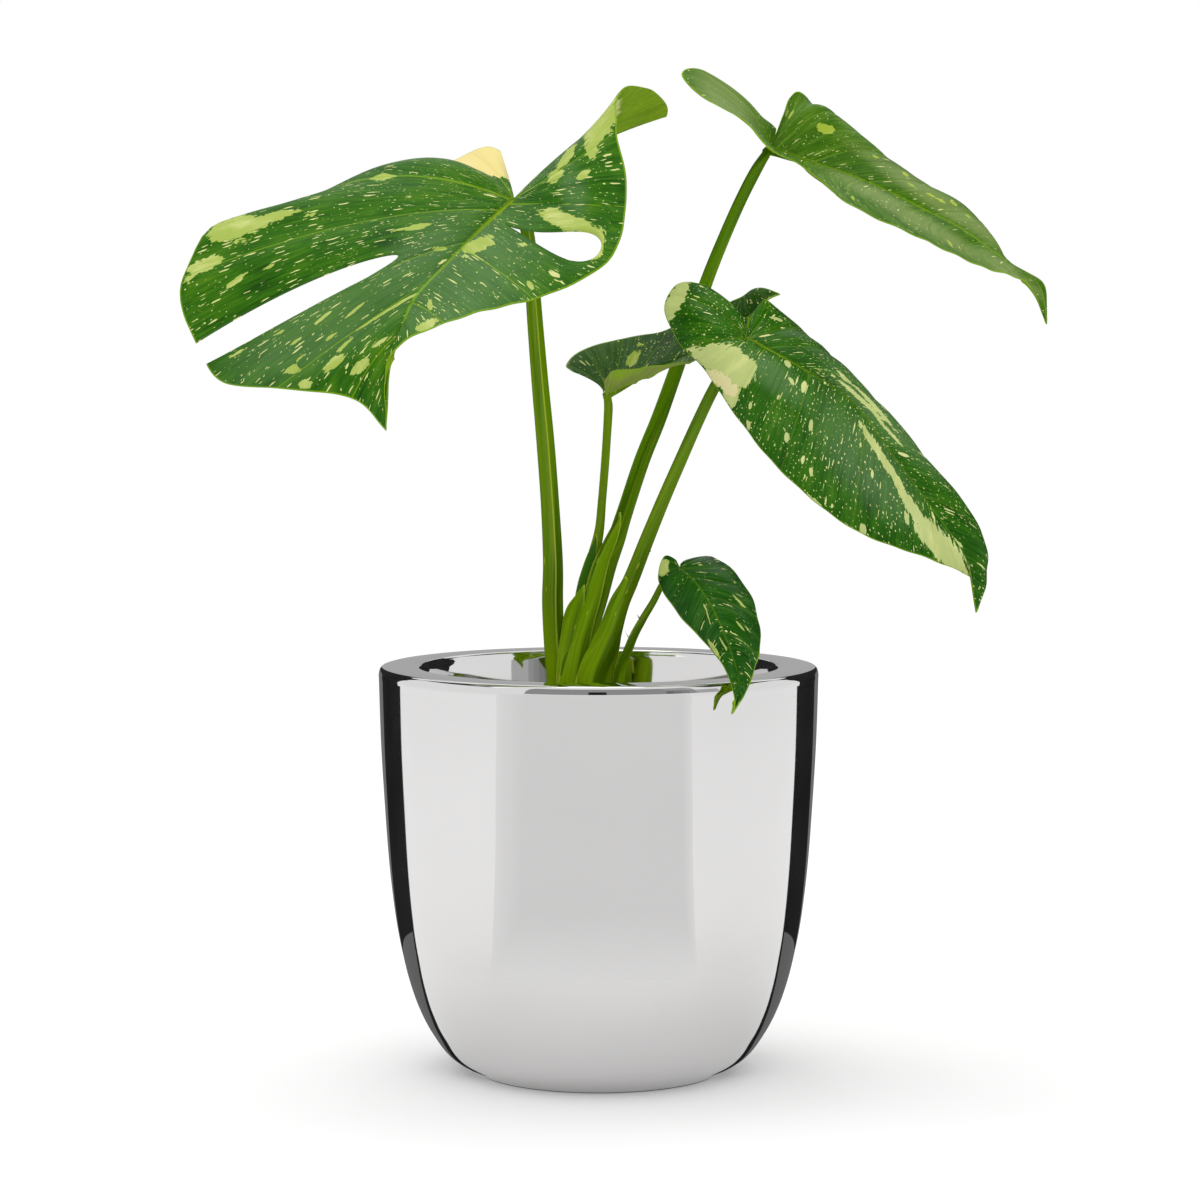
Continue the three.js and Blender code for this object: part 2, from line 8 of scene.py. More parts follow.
import bpy
import numpy as np
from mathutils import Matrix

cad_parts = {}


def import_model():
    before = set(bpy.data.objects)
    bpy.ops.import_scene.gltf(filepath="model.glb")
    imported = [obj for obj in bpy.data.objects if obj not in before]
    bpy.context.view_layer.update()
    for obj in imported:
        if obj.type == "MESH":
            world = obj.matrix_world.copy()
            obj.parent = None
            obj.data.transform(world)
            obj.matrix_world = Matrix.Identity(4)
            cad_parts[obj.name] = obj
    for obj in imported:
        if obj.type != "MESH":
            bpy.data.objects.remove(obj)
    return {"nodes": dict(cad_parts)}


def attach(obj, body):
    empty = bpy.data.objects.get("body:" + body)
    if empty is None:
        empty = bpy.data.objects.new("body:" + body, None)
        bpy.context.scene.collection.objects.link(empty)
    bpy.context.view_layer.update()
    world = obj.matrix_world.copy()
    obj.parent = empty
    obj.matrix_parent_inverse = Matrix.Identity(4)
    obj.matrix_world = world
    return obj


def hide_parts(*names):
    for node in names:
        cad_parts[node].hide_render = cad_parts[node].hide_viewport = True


log = logging.getLogger("monstera")

MM = 0.001
BODY = "root"
EYE_BACK = 1870.0
EYE_UP = 378.0

Piece = bpy.types.Object
Material = bpy.types.Material
Socket = bpy.types.NodeSocket
Point = tuple[float, float, float]
Colour = tuple[float, float, float]
VeinRow = tuple[float, float, float, float, float, float, float]
Oval = tuple[float, float, float, float, float]


class Side(Enum):
    """The two halves of a blade, as seen from above by somebody who looks along the midrib to the tip."""

    RIGHT = "right"
    LEFT = "left"


class Crumb(Enum):
    """The kinds of crumb that lie on the potting mix."""

    BARK = "bark"
    PERLITE = "perlite"
    FIBRE = "fibre"


def place(points: object) -> np.ndarray:
    """Turns readings into places in the frame.

    Args:
        points: [across, up, near] readings in millimetres. Across and up lie on the upright plane through the
            planter's axis, seen from the eye, and near is how far in front of that plane the point is.

    Returns:
        The same points as [x, y, z] in metres.
    """
    given = np.asarray(points, float)
    shrink = 1 - given[..., 2] / EYE_BACK
    high = EYE_UP + (given[..., 1] - EYE_UP) * shrink
    return np.stack([given[..., 0] * shrink, -given[..., 2], high], -1) * MM


def reading(points: np.ndarray) -> np.ndarray:
    """Turns places back into readings.

    Args:
        points: [x, y, z] in metres.

    Returns:
        [across, up] in millimetres, on the upright plane through the planter's axis.
    """
    shrink = 1 + points[..., 1] / MM / EYE_BACK
    up = EYE_UP + (points[..., 2] / MM - EYE_UP) / shrink
    return np.stack([points[..., 0] / MM / shrink, up], -1)


def along(rows: np.ndarray, at: np.ndarray) -> np.ndarray:
    """Follows a smooth curve through rows.

    Args:
        rows: The rows that the curve passes through.
        at: Places on the curve, counted in rows.

    Returns:
        One row for each place.
    """
    rows = np.asarray(rows, float)
    at = np.asarray(at, float)
    last = len(rows) - 1
    index = np.clip(np.floor(at).astype(int), 0, last - 1)
    part = (at - index)[..., None]
    start, end = rows[index], rows[index + 1]
    before, after = rows[np.maximum(index - 1, 0)], rows[np.minimum(index + 2, last)]
    leave = np.where((index > 0)[..., None], 0.5 * (end - before), end - start)
    arrive = np.where((index + 2 <= last)[..., None], 0.5 * (after - start), end - start)
    square, cube = part**2, part**3
    return (
        start * (2 * cube - 3 * square + 1)
        + leave * (cube - 2 * square + part)
        + end * (3 * square - 2 * cube)
        + arrive * (cube - square)
    )


def ink(red: float, green: float, blue: float) -> Colour:
    """Turns a colour as a screen shows it into the linear one that the shaders mix.

    Args:
        red: Its red, 0 to 255.
        green: Its green.
        blue: Its blue.

    Returns:
        The three linear shares.
    """
    shares = np.array([red, green, blue]) / 255
    linear = np.where(shares <= 0.04045, shares / 12.92, ((shares + 0.055) / 1.055) ** 2.4)
    return tuple(float(share) for share in linear)


def unit(vectors: np.ndarray) -> np.ndarray:
    """Scales vectors to length 1."""
    return vectors / np.maximum(np.linalg.norm(vectors, axis=-1, keepdims=True), 1e-12)


def travelled(points: np.ndarray, axis: int) -> np.ndarray:
    """Measures how far each point lies along its row.

    Args:
        points: Rows of points, in metres.
        axis: The axis that the rows run along.

    Returns:
        The distance from the first point of the row, in metres.
    """
    steps = np.linalg.norm(np.diff(points, axis=axis), axis=-1)
    return np.concatenate([np.zeros_like(steps.take([0], axis)), np.cumsum(steps, axis)], axis)


def numbered(grid: np.ndarray) -> np.ndarray:
    """Numbers the places of a grid of points, row by row."""
    return np.arange(grid.shape[0] * grid.shape[1]).reshape(grid.shape[:2])


def wrapped(ids: np.ndarray) -> np.ndarray:
    """Joins a grid's last column to its first one."""
    return np.concatenate([ids, ids[:, :1]], 1)


def make_object(
    name: str,
    points: np.ndarray,
    triangles: np.ndarray,
    material: Material,
    corners: dict[str, np.ndarray] | None = None,
    flat: np.ndarray | None = None,
) -> Piece:
    """Makes a mesh object whose place is in its mesh.

    Args:
        name: The piece's name.
        points: Vertices, (n, 3), in metres.
        triangles: Corner indices, (m, 3), facing out.
        material: Its finish.
        corners: Values kept at each corner, (m, 3, 3), by attribute name.
        flat: Which triangles are flat shaded, (m,).

    Returns:
        The new object.
    """
    mesh = bpy.data.meshes.new(name)
    mesh.vertices.add(len(points))
    mesh.vertices.foreach_set("co", np.asarray(points, np.float32).ravel())
    mesh.loops.add(len(triangles) * 3)
    mesh.loops.foreach_set("vertex_index", np.asarray(triangles, np.int32).ravel())
    mesh.polygons.add(len(triangles))
    mesh.polygons.foreach_set("loop_start", np.arange(0, len(triangles) * 3, 3, dtype=np.int32))
    smooth = np.ones(len(triangles), bool) if flat is None else ~flat
    mesh.polygons.foreach_set("use_smooth", smooth)
    for key, values in (corners or {}).items():
        attribute = mesh.attributes.new(key, "FLOAT_VECTOR", "CORNER")
        attribute.data.foreach_set("vector", np.asarray(values, np.float32).ravel())
    mesh.materials.append(material)
    mesh.update(calc_edges=True)
    mesh.validate()
    piece = bpy.data.objects.new(name, mesh)
    bpy.context.scene.collection.objects.link(piece)
    return piece


def count_triangles(piece: Piece) -> int:
    """Counts the triangles of a mesh object."""
    return sum(len(face.vertices) - 2 for face in piece.data.polygons)


class Skin:
    """Triangles over shared points, with a row of values kept at every corner."""

    def __init__(self, points: np.ndarray, triangles: np.ndarray, values: np.ndarray) -> None:
        """Keeps the parts of the skin.

        Args:
            points: Shared points, (n, 3).
            triangles: Corner indices, (m, 3).
            values: Values at each corner, (m, 3, k).
        """
        self.points = points
        self.triangles = triangles
        self.values = values

    @staticmethod
    def grid_triangles(
        ids: np.ndarray, flip: bool, joined: np.ndarray | None = None
    ) -> tuple[np.ndarray, np.ndarray]:
        """Splits a grid into triangles.

        Args:
            ids: The shared point under each place of the grid, (rows, columns).
            flip: Whether the grid faces the other way.
            joined: Whether a row is joined to the next one, (rows - 1,). All are where this is None.

        Returns:
            The triangles by shared point, and the same ones by place in the grid.
        """
        if joined is None:
            joined = np.ones(len(ids) - 1, bool)
        places = np.arange(ids.size).reshape(ids.shape)
        a, b = places[:-1, :-1][joined].ravel(), places[1:, :-1][joined].ravel()
        c, d = places[1:, 1:][joined].ravel(), places[:-1, 1:][joined].ravel()
        raw = np.concatenate([np.stack([a, b, c], -1), np.stack([a, c, d], -1)])
        if flip:
            raw = raw[:, ::-1]
        shared = ids.ravel()[raw]
        first, second, third = shared.T
        whole = (first != second) & (second != third) & (third != first)
        return shared[whole], raw[whole]

    def normals(self) -> np.ndarray:
        """Finds the direction that the skin faces at each point.

        Returns:
            Vectors of length 1, (n, 3).
        """
        first = self.points[self.triangles[:, 1]] - self.points[self.triangles[:, 0]]
        second = self.points[self.triangles[:, 2]] - self.points[self.triangles[:, 0]]
        facing = np.cross(first, second)
        total = np.zeros_like(self.points)
        for corner in range(3):
            for axis in range(3):
                weights = facing[:, axis]
                total[:, axis] += np.bincount(self.triangles[:, corner], weights, len(self.points))
        return unit(total)

    def rim(self) -> tuple[np.ndarray, np.ndarray]:
        """Finds the open edges.

        Returns:
            The edges, (e, 2), in the direction that their triangle runs, and the values at both ends,
            (e, 2, k).
        """
        count = len(self.points)
        turns = [(0, 1), (1, 2), (2, 0)]
        edges = np.concatenate([self.triangles[:, turn] for turn in turns])
        values = np.concatenate([self.values[:, turn] for turn in turns])
        keys = edges[:, 0].astype(np.int64) * count + edges[:, 1]
        back = edges[:, 1].astype(np.int64) * count + edges[:, 0]
        alone = ~np.isin(back, keys)
        return edges[alone], values[alone]

    def compact(self) -> np.ndarray:
        """Drops the points that no triangle uses.

        Returns:
            The numbers of the points that are kept.
        """
        used, renumbered = np.unique(self.triangles, return_inverse=True)
        self.triangles = renumbered.reshape(self.triangles.shape)
        self.points = self.points[used]
        return used

    def closed(
        self, upper: np.ndarray, lower: np.ndarray
    ) -> tuple[np.ndarray, np.ndarray, np.ndarray, np.ndarray]:
        """Closes the skin into a thin solid.

        Args:
            upper: The place of each point on the upper face, (n, 3).
            lower: The same on the lower face.

        Returns:
            Points, triangles, corner values with a last column that is 1 underneath, and which are walls.
        """
        count, faces = len(self.points), len(self.triangles)
        edges, edge_values = self.rim()
        start, end = edges[:, 0], edges[:, 1]
        walls = np.concatenate([
            np.stack([start, start + count, end + count], -1),
            np.stack([start, end + count, end], -1),
        ])
        wall_values = np.concatenate([edge_values[:, [0, 0, 1]], edge_values[:, [0, 1, 1]]])
        points = np.concatenate([upper, lower])
        triangles = np.concatenate([self.triangles, self.triangles[:, ::-1] + count, walls])
        values = np.concatenate([self.values, self.values[:, ::-1], wall_values])
        under = np.repeat([0, 1, 0.5], [faces, faces, len(walls)])
        values = np.concatenate([values, np.repeat(under, 3).reshape(-1, 3, 1)], -1)
        flat = np.arange(len(triangles)) >= 2 * faces
        return points, triangles, values, flat


class NodeTree:
    """A tree of nodes, built up node by node."""

    def __init__(self, tree: bpy.types.NodeTree) -> None:
        """Keeps the tree.

        Args:
            tree: The tree that the nodes are added to.
        """
        self.tree = tree

    def node(self, kind: str, inputs: dict | None = None, **settings: object) -> bpy.types.Node:
        """Adds a node.

        Args:
            kind: The node's type.
            inputs: Values or output sockets, by input name or index.
            settings: The node's own properties.

        Returns:
            The new node.
        """
        node = self.tree.nodes.new(kind)
        for key, value in settings.items():
            setattr(node, key, value)
        for key, value in (inputs or {}).items():
            if isinstance(value, Socket):
                self.tree.links.new(value, node.inputs[key])
            elif isinstance(value, tuple) and node.inputs[key].type == "RGBA":
                node.inputs[key].default_value = (*value, 1.0)
            else:
                node.inputs[key].default_value = value
        return node


class Recipe(NodeTree):
    """One material's node tree."""

    def __init__(self, name: str) -> None:
        """Starts an empty tree.

        Args:
            name: The material's name.
        """
        self.material = bpy.data.materials.new(name)
        self.material.use_nodes = True
        super().__init__(self.material.node_tree)
        self.tree.nodes.clear()

    def attribute(self, name: str) -> Socket:
        """Reads one of the piece's own attributes."""
        return self.node("ShaderNodeAttribute", attribute_name=name).outputs["Vector"]

    def spot(self) -> Socket:
        """Reads the place on the piece, in metres."""
        return self.node("ShaderNodeTexCoord").outputs["Object"]

    def parts(self, vector: Socket) -> tuple[Socket, ...]:
        """Splits a vector into its three numbers."""
        return tuple(self.node("ShaderNodeSeparateXYZ", {0: vector}).outputs)

    def stretch(self, vector: Socket, scale: Point, shift: Point = (0, 0, 0)) -> Socket:
        """Scales and shifts a pattern's coordinates."""
        inputs = {"Vector": vector, "Scale": scale, "Location": shift}
        return self.node("ShaderNodeMapping", inputs).outputs[0]

    def math(self, operation: str, *values: object, clamp: bool = False) -> Socket:
        """Adds a sum of numbers or sockets."""
        inputs = dict(enumerate(values))
        return self.node("ShaderNodeMath", inputs, operation=operation, use_clamp=clamp).outputs[0]

    def times(self, first: object, second: object) -> Socket:
        """Multiplies two numbers or sockets."""
        return self.math("MULTIPLY", first, second)

    def rest(self, share: object) -> Socket:
        """Gives what is left of 1 after a share."""
        return self.math("SUBTRACT", 1.0, share)

    def shifted(self, vector: Socket, by: Socket, much: Point) -> Socket:
        """Moves coordinates by a share of another vector."""
        inputs = {0: by, 1: much, 2: vector}
        return self.node("ShaderNodeVectorMath", inputs, operation="MULTIPLY_ADD").outputs[0]

    def mix(self, share: object, first: object, second: object) -> Socket:
        """Mixes two colours.

        Args:
            share: How much of the second one there is, as a number or a socket.
            first: The colour at 0.
            second: The colour at 1.

        Returns:
            The mixed colour.
        """
        inputs = {0: share, 6: first, 7: second}
        return self.node("ShaderNodeMix", inputs, data_type="RGBA").outputs[2]

    def ramp(self, value: Socket, stops: list[tuple[float, Colour]]) -> Socket:
        """Turns a number into a colour that blends between stops.

        Args:
            value: The number.
            stops: The number and the colour of each stop.

        Returns:
            The colour.
        """
        node = self.node("ShaderNodeValToRGB", {0: value})
        marks = node.color_ramp.elements
        while len(marks) < len(stops):
            marks.new(0.5)
        for mark, (position, colour) in zip(marks, stops):
            mark.position = position
            mark.color = (*colour, 1.0)
        return node.outputs[0]

    def noise(self, vector: Socket, scale: float, detail: float = 2.0, rough: float = 0.5,
              colour: bool = False) -> Socket:
        """Adds a cloudy pattern, as a number near 0.5 or as a colour."""
        inputs = {"Vector": vector, "Scale": scale, "Detail": detail, "Roughness": rough}
        return self.node("ShaderNodeTexNoise", inputs).outputs[1 if colour else 0]

    def smooth(self, value: object, low: object, high: object) -> Socket:
        """Rises softly from 0 to 1 as a value goes from low to high."""
        inputs = {"Value": value, "From Min": low, "From Max": high}
        return self.node("ShaderNodeMapRange", inputs, interpolation_type="SMOOTHSTEP").outputs[0]

    def flecks(self, vector: Socket, coverage: float, small: float, large: float) -> Socket:
        """Scatters flecks, at most one in each cell of the coordinates.

        Args:
            vector: Coordinates that are 1 a cell.
            coverage: The share of cells that hold a fleck.
            small: The radius of the smallest fleck, in cells.
            large: The radius of the largest.

        Returns:
            1 inside a fleck.
        """
        inputs = {"Vector": vector, "Scale": 1.0, "Randomness": 1.0}
        cell = self.node("ShaderNodeTexVoronoi", inputs, voronoi_dimensions="2D")
        pick = self.parts(cell.outputs["Color"])
        there = self.math("LESS_THAN", pick[0], coverage)
        radius = self.math("MULTIPLY_ADD", self.math("POWER", pick[1], 2.0), large - small, small)
        inner = self.times(radius, 0.8)
        outside = self.smooth(cell.outputs[0], inner, radius)
        return self.times(there, self.rest(outside))

    def bump(self, height: Socket, strength: float, distance: float,
             under: Socket | None = None) -> Socket:
        """Turns a height into a bumped normal.

        Args:
            height: The pattern of heights.
            strength: How much of it shows.
            distance: How high 1 is, in metres.
            under: A normal that is bumped already.

        Returns:
            The normal.
        """
        inputs = {"Height": height, "Strength": strength, "Distance": distance}
        if under is not None:
            inputs["Normal"] = under
        return self.node("ShaderNodeBump", inputs).outputs[0]

    def finish(self, inputs: dict) -> Material:
        """Ends the tree with its shader.

        Args:
            inputs: The shader's values or sockets by name.

        Returns:
            The finished material.
        """
        shader = self.node("ShaderNodeBsdfPrincipled", inputs)
        self.node("ShaderNodeOutputMaterial", {"Surface": shader.outputs[0]})
        return self.material


@dataclass(frozen=True)
class LeafFinish:
    """A glossy blade, marbled in greens, with cream flecks and splashes that run along the veins, and patches
    of grey-green painted sheen where it mirrors the light.
    """

    name: str
    deep: Colour = ink(10, 58, 0)
    middle: Colour = ink(38, 94, 0)
    pale: Colour = ink(72, 122, 16)
    vein: Colour = ink(132, 170, 20)
    cream: Colour = ink(158, 180, 56)
    bright: Colour = ink(230, 213, 136)
    fleck: Colour = ink(218, 222, 146)
    under: Colour = ink(104, 136, 14)
    dots: float = 0.62
    dashes: float = 0.5
    blotches: float = 0.12
    lines: float = 0.6
    gloss: float = 0.4
    # The next two values set a painted sheen: a grey-green reflection of the studio light, mixed into the
    # blade's colour.
    sheen_strength: float = 0.1
    sheen_colour: Colour = ink(92, 128, 76)

    def material(self) -> Material:
        """Builds the blade's material.

        Returns:
            The material.
        """
        r = Recipe(self.name)
        flow, spot = r.attribute("flow"), r.spot()
        vein, edge, painted_sheen = r.parts(r.attribute("marks"))
        splash, glow, under = r.parts(r.attribute("stain"))
        grain = r.noise(r.stretch(flow, (0.8, 0.05, 1)), 1.0, 4.0, 0.6)
        marble = r.noise(r.stretch(flow, (0.16, 0.05, 1)), 1.0, 5.0, 0.62)
        cloud = r.noise(spot, 26.0, 3.0, 0.55)
        tone = r.math("ADD", r.times(grain, 0.42), r.times(marble, 0.33))
        tone = r.math("MULTIPLY_ADD", cloud, 0.25, tone)
        green = r.ramp(tone, [(0.36, self.deep), (0.5, self.middle), (0.66, self.pale)])
        streak = r.noise(r.stretch(flow, (0.5, 0.012, 1), (1.7, 0, 0)), 1.0, 3.0, 0.6)
        # Painted sheen: greys the blade where its ovals say it mirrors the light.
        sheen_share = r.math("MULTIPLY", painted_sheen, r.math("MULTIPLY_ADD", streak, 0.9, self.sheen_strength), clamp=True)
        green = r.mix(sheen_share, green, self.sheen_colour)
        sway = r.noise(r.stretch(flow, (0.5, 0.16, 1)), 1.0, 3.0, 0.6, colour=True)
        bent = r.shifted(flow, sway, (1.6, 3.0, 0.0))
        dots = r.flecks(r.stretch(bent, (0.44, 0.33, 1)), self.dots, 0.06, 0.2)
        dashes = r.flecks(r.stretch(bent, (0.52, 0.07, 1), (7.3, 2.1, 0)), self.dashes, 0.06, 0.24)
        blotches = r.flecks(r.stretch(bent, (0.1, 0.05, 1), (3.7, 9.4, 0)), self.blotches, 0.06, 0.2)
        thin = r.smooth(r.noise(spot, 40.0, 2.0), 0.3, 0.5)
        flecks = r.math("MAXIMUM", r.times(dots, thin), r.math("MAXIMUM", dashes, blotches))
        ragged = r.math("SUBTRACT", r.noise(r.stretch(flow, (0.34, 0.13, 1)), 1.0, 6.0, 0.68), 0.5)
        torn = r.math("MULTIPLY_ADD", ragged, 1.9, splash)
        cream = r.smooth(torn, 0.0, 0.05)
        core = r.smooth(r.math("MULTIPLY_ADD", ragged, 2.4, glow), 0.0, 0.06)
        cream_tone = r.mix(r.smooth(marble, 0.42, 0.9), self.cream, self.fleck)
        cream_tone = r.mix(core, cream_tone, self.bright)
        colour = r.mix(r.times(flecks, 0.92), green, self.fleck)
        colour = r.mix(cream, colour, cream_tone)
        line = r.rest(r.smooth(vein, 0.55, 1.25))
        drawn = r.times(r.rest(core), self.lines)
        colour = r.mix(r.times(line, drawn), colour, self.vein)
        margin = r.rest(r.smooth(edge, 0.35, 1.0))
        colour = r.mix(r.times(margin, 0.75), colour, self.vein)
        back = r.mix(r.smooth(tone, 0.36, 0.66), self.under, self.vein)
        back = r.mix(r.times(cream, 0.7), back, self.fleck)
        colour = r.mix(r.math("GREATER_THAN", under, 0.75), colour, back)
        ribs = r.noise(r.stretch(flow, (1.1, 0.03, 1)), 1.0, 3.0, 0.6)
        pores = r.noise(spot, 1500.0, 2.0, 0.5)
        normal = r.bump(ribs, 0.28, 0.0006)
        normal = r.bump(pores, 0.1, 0.0002, normal)
        rough = r.math("MULTIPLY_ADD", ribs, 0.16, self.gloss - 0.06)
        rough = r.math("MULTIPLY_ADD", r.math("GREATER_THAN", under, 0.75), 0.14, rough)
        return r.finish({
            "Base Color": colour, "Roughness": rough, "Normal": normal, "Specular IOR Level": 0.07,
        })


@dataclass(frozen=True)
class StalkFinish:
    """A satin stalk, yellow-green with darker lengthwise fibres, paler at the foot."""

    name: str
    foot: Colour = ink(122, 158, 0)
    low: Colour = ink(86, 121, 0)
    high: Colour = ink(98, 134, 0)
    fibre: Colour = ink(44, 82, 0)
    pale: Colour = ink(174, 190, 44)
    foot_height: float = 0.2
    top_height: float = 0.36

    def material(self) -> Material:
        """Builds the stalk's material.

        Returns:
            The material.
        """
        r = Recipe(self.name)
        flow, spot = r.attribute("flow"), r.spot()
        height = r.parts(spot)[2]
        fibres = r.noise(r.stretch(flow, (0.5, 0.012, 1)), 1.0, 4.0, 0.6)
        bands = r.noise(r.stretch(flow, (0.16, 0.01, 1), (4.0, 0, 0)), 1.0, 2.0, 0.5)
        patches = r.noise(spot, 60.0, 3.0, 0.6)
        ground = r.mix(r.smooth(height, self.foot_height, self.foot_height + 0.05), self.foot, self.low)
        ground = r.mix(r.smooth(height, self.foot_height + 0.04, self.top_height), ground, self.high)
        colour = r.mix(r.times(r.smooth(bands, 0.44, 0.68), 0.75), ground, self.fibre)
        colour = r.mix(r.times(r.smooth(fibres, 0.5, 0.75), 0.35), colour, self.fibre)
        colour = r.mix(r.times(r.smooth(fibres, 0.48, 0.25), 0.22), colour, self.pale)
        spots = r.flecks(r.stretch(flow, (0.5, 0.09, 1)), 0.05, 0.06, 0.2)
        colour = r.mix(r.times(spots, 0.6), colour, self.pale)
        # On a stalk, the pale line down its crest is a painted highlight, where the ridge catches the light;
        # on a sheath flap the same mark is its own pale margin.
        rim, turn, crest = r.parts(r.attribute("marks"))
        off = r.math("ABSOLUTE", r.math("SUBTRACT", turn, crest))
        rim = r.times(rim, r.rest(r.smooth(off, 0.03, 0.13)))
        colour = r.mix(r.times(rim, 0.85), colour, self.pale)
        normal = r.bump(fibres, 0.25, 0.0005)
        rough = r.math("MULTIPLY_ADD", patches, 0.2, 0.24)
        return r.finish({
            "Base Color": colour, "Roughness": rough, "Normal": normal, "Specular IOR Level": 0.03,
        })


@dataclass(frozen=True)
class SteelFinish:
    """Mirror-polished stainless steel, with the faint rings that spinning and buffing leave."""

    name: str
    tint: Colour = (0.7, 0.692, 0.69)
    worn: Colour = (0.66, 0.652, 0.65)
    polish: float = 0.028

    def material(self) -> Material:
        """Builds the steel.

        Returns:
            The material.
        """
        r = Recipe(self.name)
        spot = r.spot()
        rings = r.noise(r.stretch(spot, (3, 3, 900)), 1.0, 3.0, 0.6)
        smears = r.noise(r.stretch(spot, (14, 14, 22)), 1.0, 4.0, 0.6)
        colour = r.mix(smears, self.tint, self.worn)
        rough = r.math("MULTIPLY_ADD", smears, 0.035, self.polish - 0.012)
        rough = r.math("MULTIPLY_ADD", rings, 0.012, rough)
        normal = r.bump(r.noise(r.stretch(spot, (5, 5, 9)), 1.0, 1.0), 0.05, 0.004)
        return r.finish({"Base Color": colour, "Metallic": 1.0, "Roughness": rough, "Normal": normal})


@dataclass(frozen=True)
class EarthFinish:
    """A damp, crumbly or woody finish, for the mix, its bark, its fibres and its perlite."""

    name: str
    dark: Colour = ink(34, 24, 17)
    light: Colour = ink(84, 62, 44)
    scale: float = 320.0
    rough: float = 0.92
    relief: float = 0.0012

    def material(self) -> Material:
        """Builds the finish.

        Returns:
            The material.
        """
        r = Recipe(self.name)
        spot = r.spot()
        grit = r.noise(spot, self.scale, 5.0, 0.65)
        damp = r.noise(spot, 30.0, 3.0, 0.5)
        colour = r.mix(r.smooth(grit, 0.34, 0.68), self.dark, self.light)
        colour = r.mix(r.times(r.smooth(damp, 0.45, 0.7), 0.4), colour, self.dark)
        normal = r.bump(grit, 0.7, self.relief)
        rough = r.math("MULTIPLY_ADD", damp, -0.16, self.rough + 0.04)
        return r.finish({"Base Color": colour, "Roughness": rough, "Normal": normal})


@dataclass(frozen=True)
class LinerFinish:
    """Black moulded plastic, with a fine matt grain and a little dust."""

    name: str
    black: Colour = ink(26, 27, 29)
    dust: Colour = ink(86, 80, 72)

    def material(self) -> Material:
        """Builds the plastic.

        Returns:
            The material.
        """
        r = Recipe(self.name)
        spot = r.spot()
        grain = r.noise(spot, 1400.0, 2.0, 0.5)
        dusty = r.noise(spot, 44.0, 5.0, 0.7)
        colour = r.mix(r.times(r.smooth(dusty, 0.5, 0.8), 0.5), self.black, self.dust)
        rough = r.math("MULTIPLY_ADD", dusty, 0.3, 0.32)
        return r.finish({"Base Color": colour, "Roughness": rough, "Normal": r.bump(grain, 0.3, 0.0003)})


@dataclass(frozen=True)
class StudioFinish:
    """A plain matt studio surface."""

    name: str
    colour: Colour
    rough: float = 0.9
    glow: float = 0.0

    def material(self) -> Material:
        """Builds the surface.

        Returns:
            The material.
        """
        r = Recipe(self.name)
        drift = r.noise(r.spot(), 2.0, 2.0)
        tone = r.mix(r.times(drift, 0.04), self.colour, (0.5, 0.5, 0.5))
        return r.finish({
            "Base Color": tone, "Roughness": self.rough, "Specular IOR Level": 0.0,
            "Emission Color": (1.0, 1.0, 1.0), "Emission Strength": self.glow,
        })


@dataclass(frozen=True)
class Cut:
    """A split or a hole that follows one vein of a blade."""

    side: Side
    vein: float
    start: float
    end: float
    before: float
    after: float

    def opening(self, at: np.ndarray) -> np.ndarray:
        """Gives how far the cut opens: a split widens to the margin, a hole closes again.

        Args:
            at: Places along the vein, 0 at the midrib and 1 on the margin.

        Returns:
            The opening, 0 to about 1.
        """
        part = np.clip((at - self.start) / (self.end - self.start), 0, 1)
        if self.end < 1:
            return 2.94 * part**1.6 * (1 - part) ** 0.45
        return np.sqrt(part) * (1.3 - 0.85 * part)


@dataclass(frozen=True)
class Splash:
    """A cream splash, as an oval read on the upright plane through the planter's axis."""

    across: float
    up: float
    long: float
    wide: float
    turn: float

    def field(self, seen: np.ndarray) -> np.ndarray:
        """Gives how deep points lie in the splash: above 0 inside, 1 at its middle.

        Args:
            seen: [across, up] readings.

        Returns:
            One number for each reading, no lower than -1.
        """
        turn = math.radians(self.turn)
        away = seen - np.array([self.across, self.up])
        lengthwise = away[..., 0] * math.cos(turn) + away[..., 1] * math.sin(turn)
        sideways = away[..., 1] * math.cos(turn) - away[..., 0] * math.sin(turn)
        far = np.hypot(lengthwise / (self.long * 1.12), sideways / (self.wide * 1.12))
        return np.maximum(1 - far, -1)


@dataclass(frozen=True)
class HalfGrid:
    """One half of a blade, on a grid of columns beside the veins and rows from the midrib outward.

    Each array has a value for every place: the vein that it lies on, counted from the sinus, how far out on
    it, 0 at the midrib and 1 on the margin, and its point in metres.
    """

    side: Side
    vein: np.ndarray
    out: np.ndarray
    points: np.ndarray


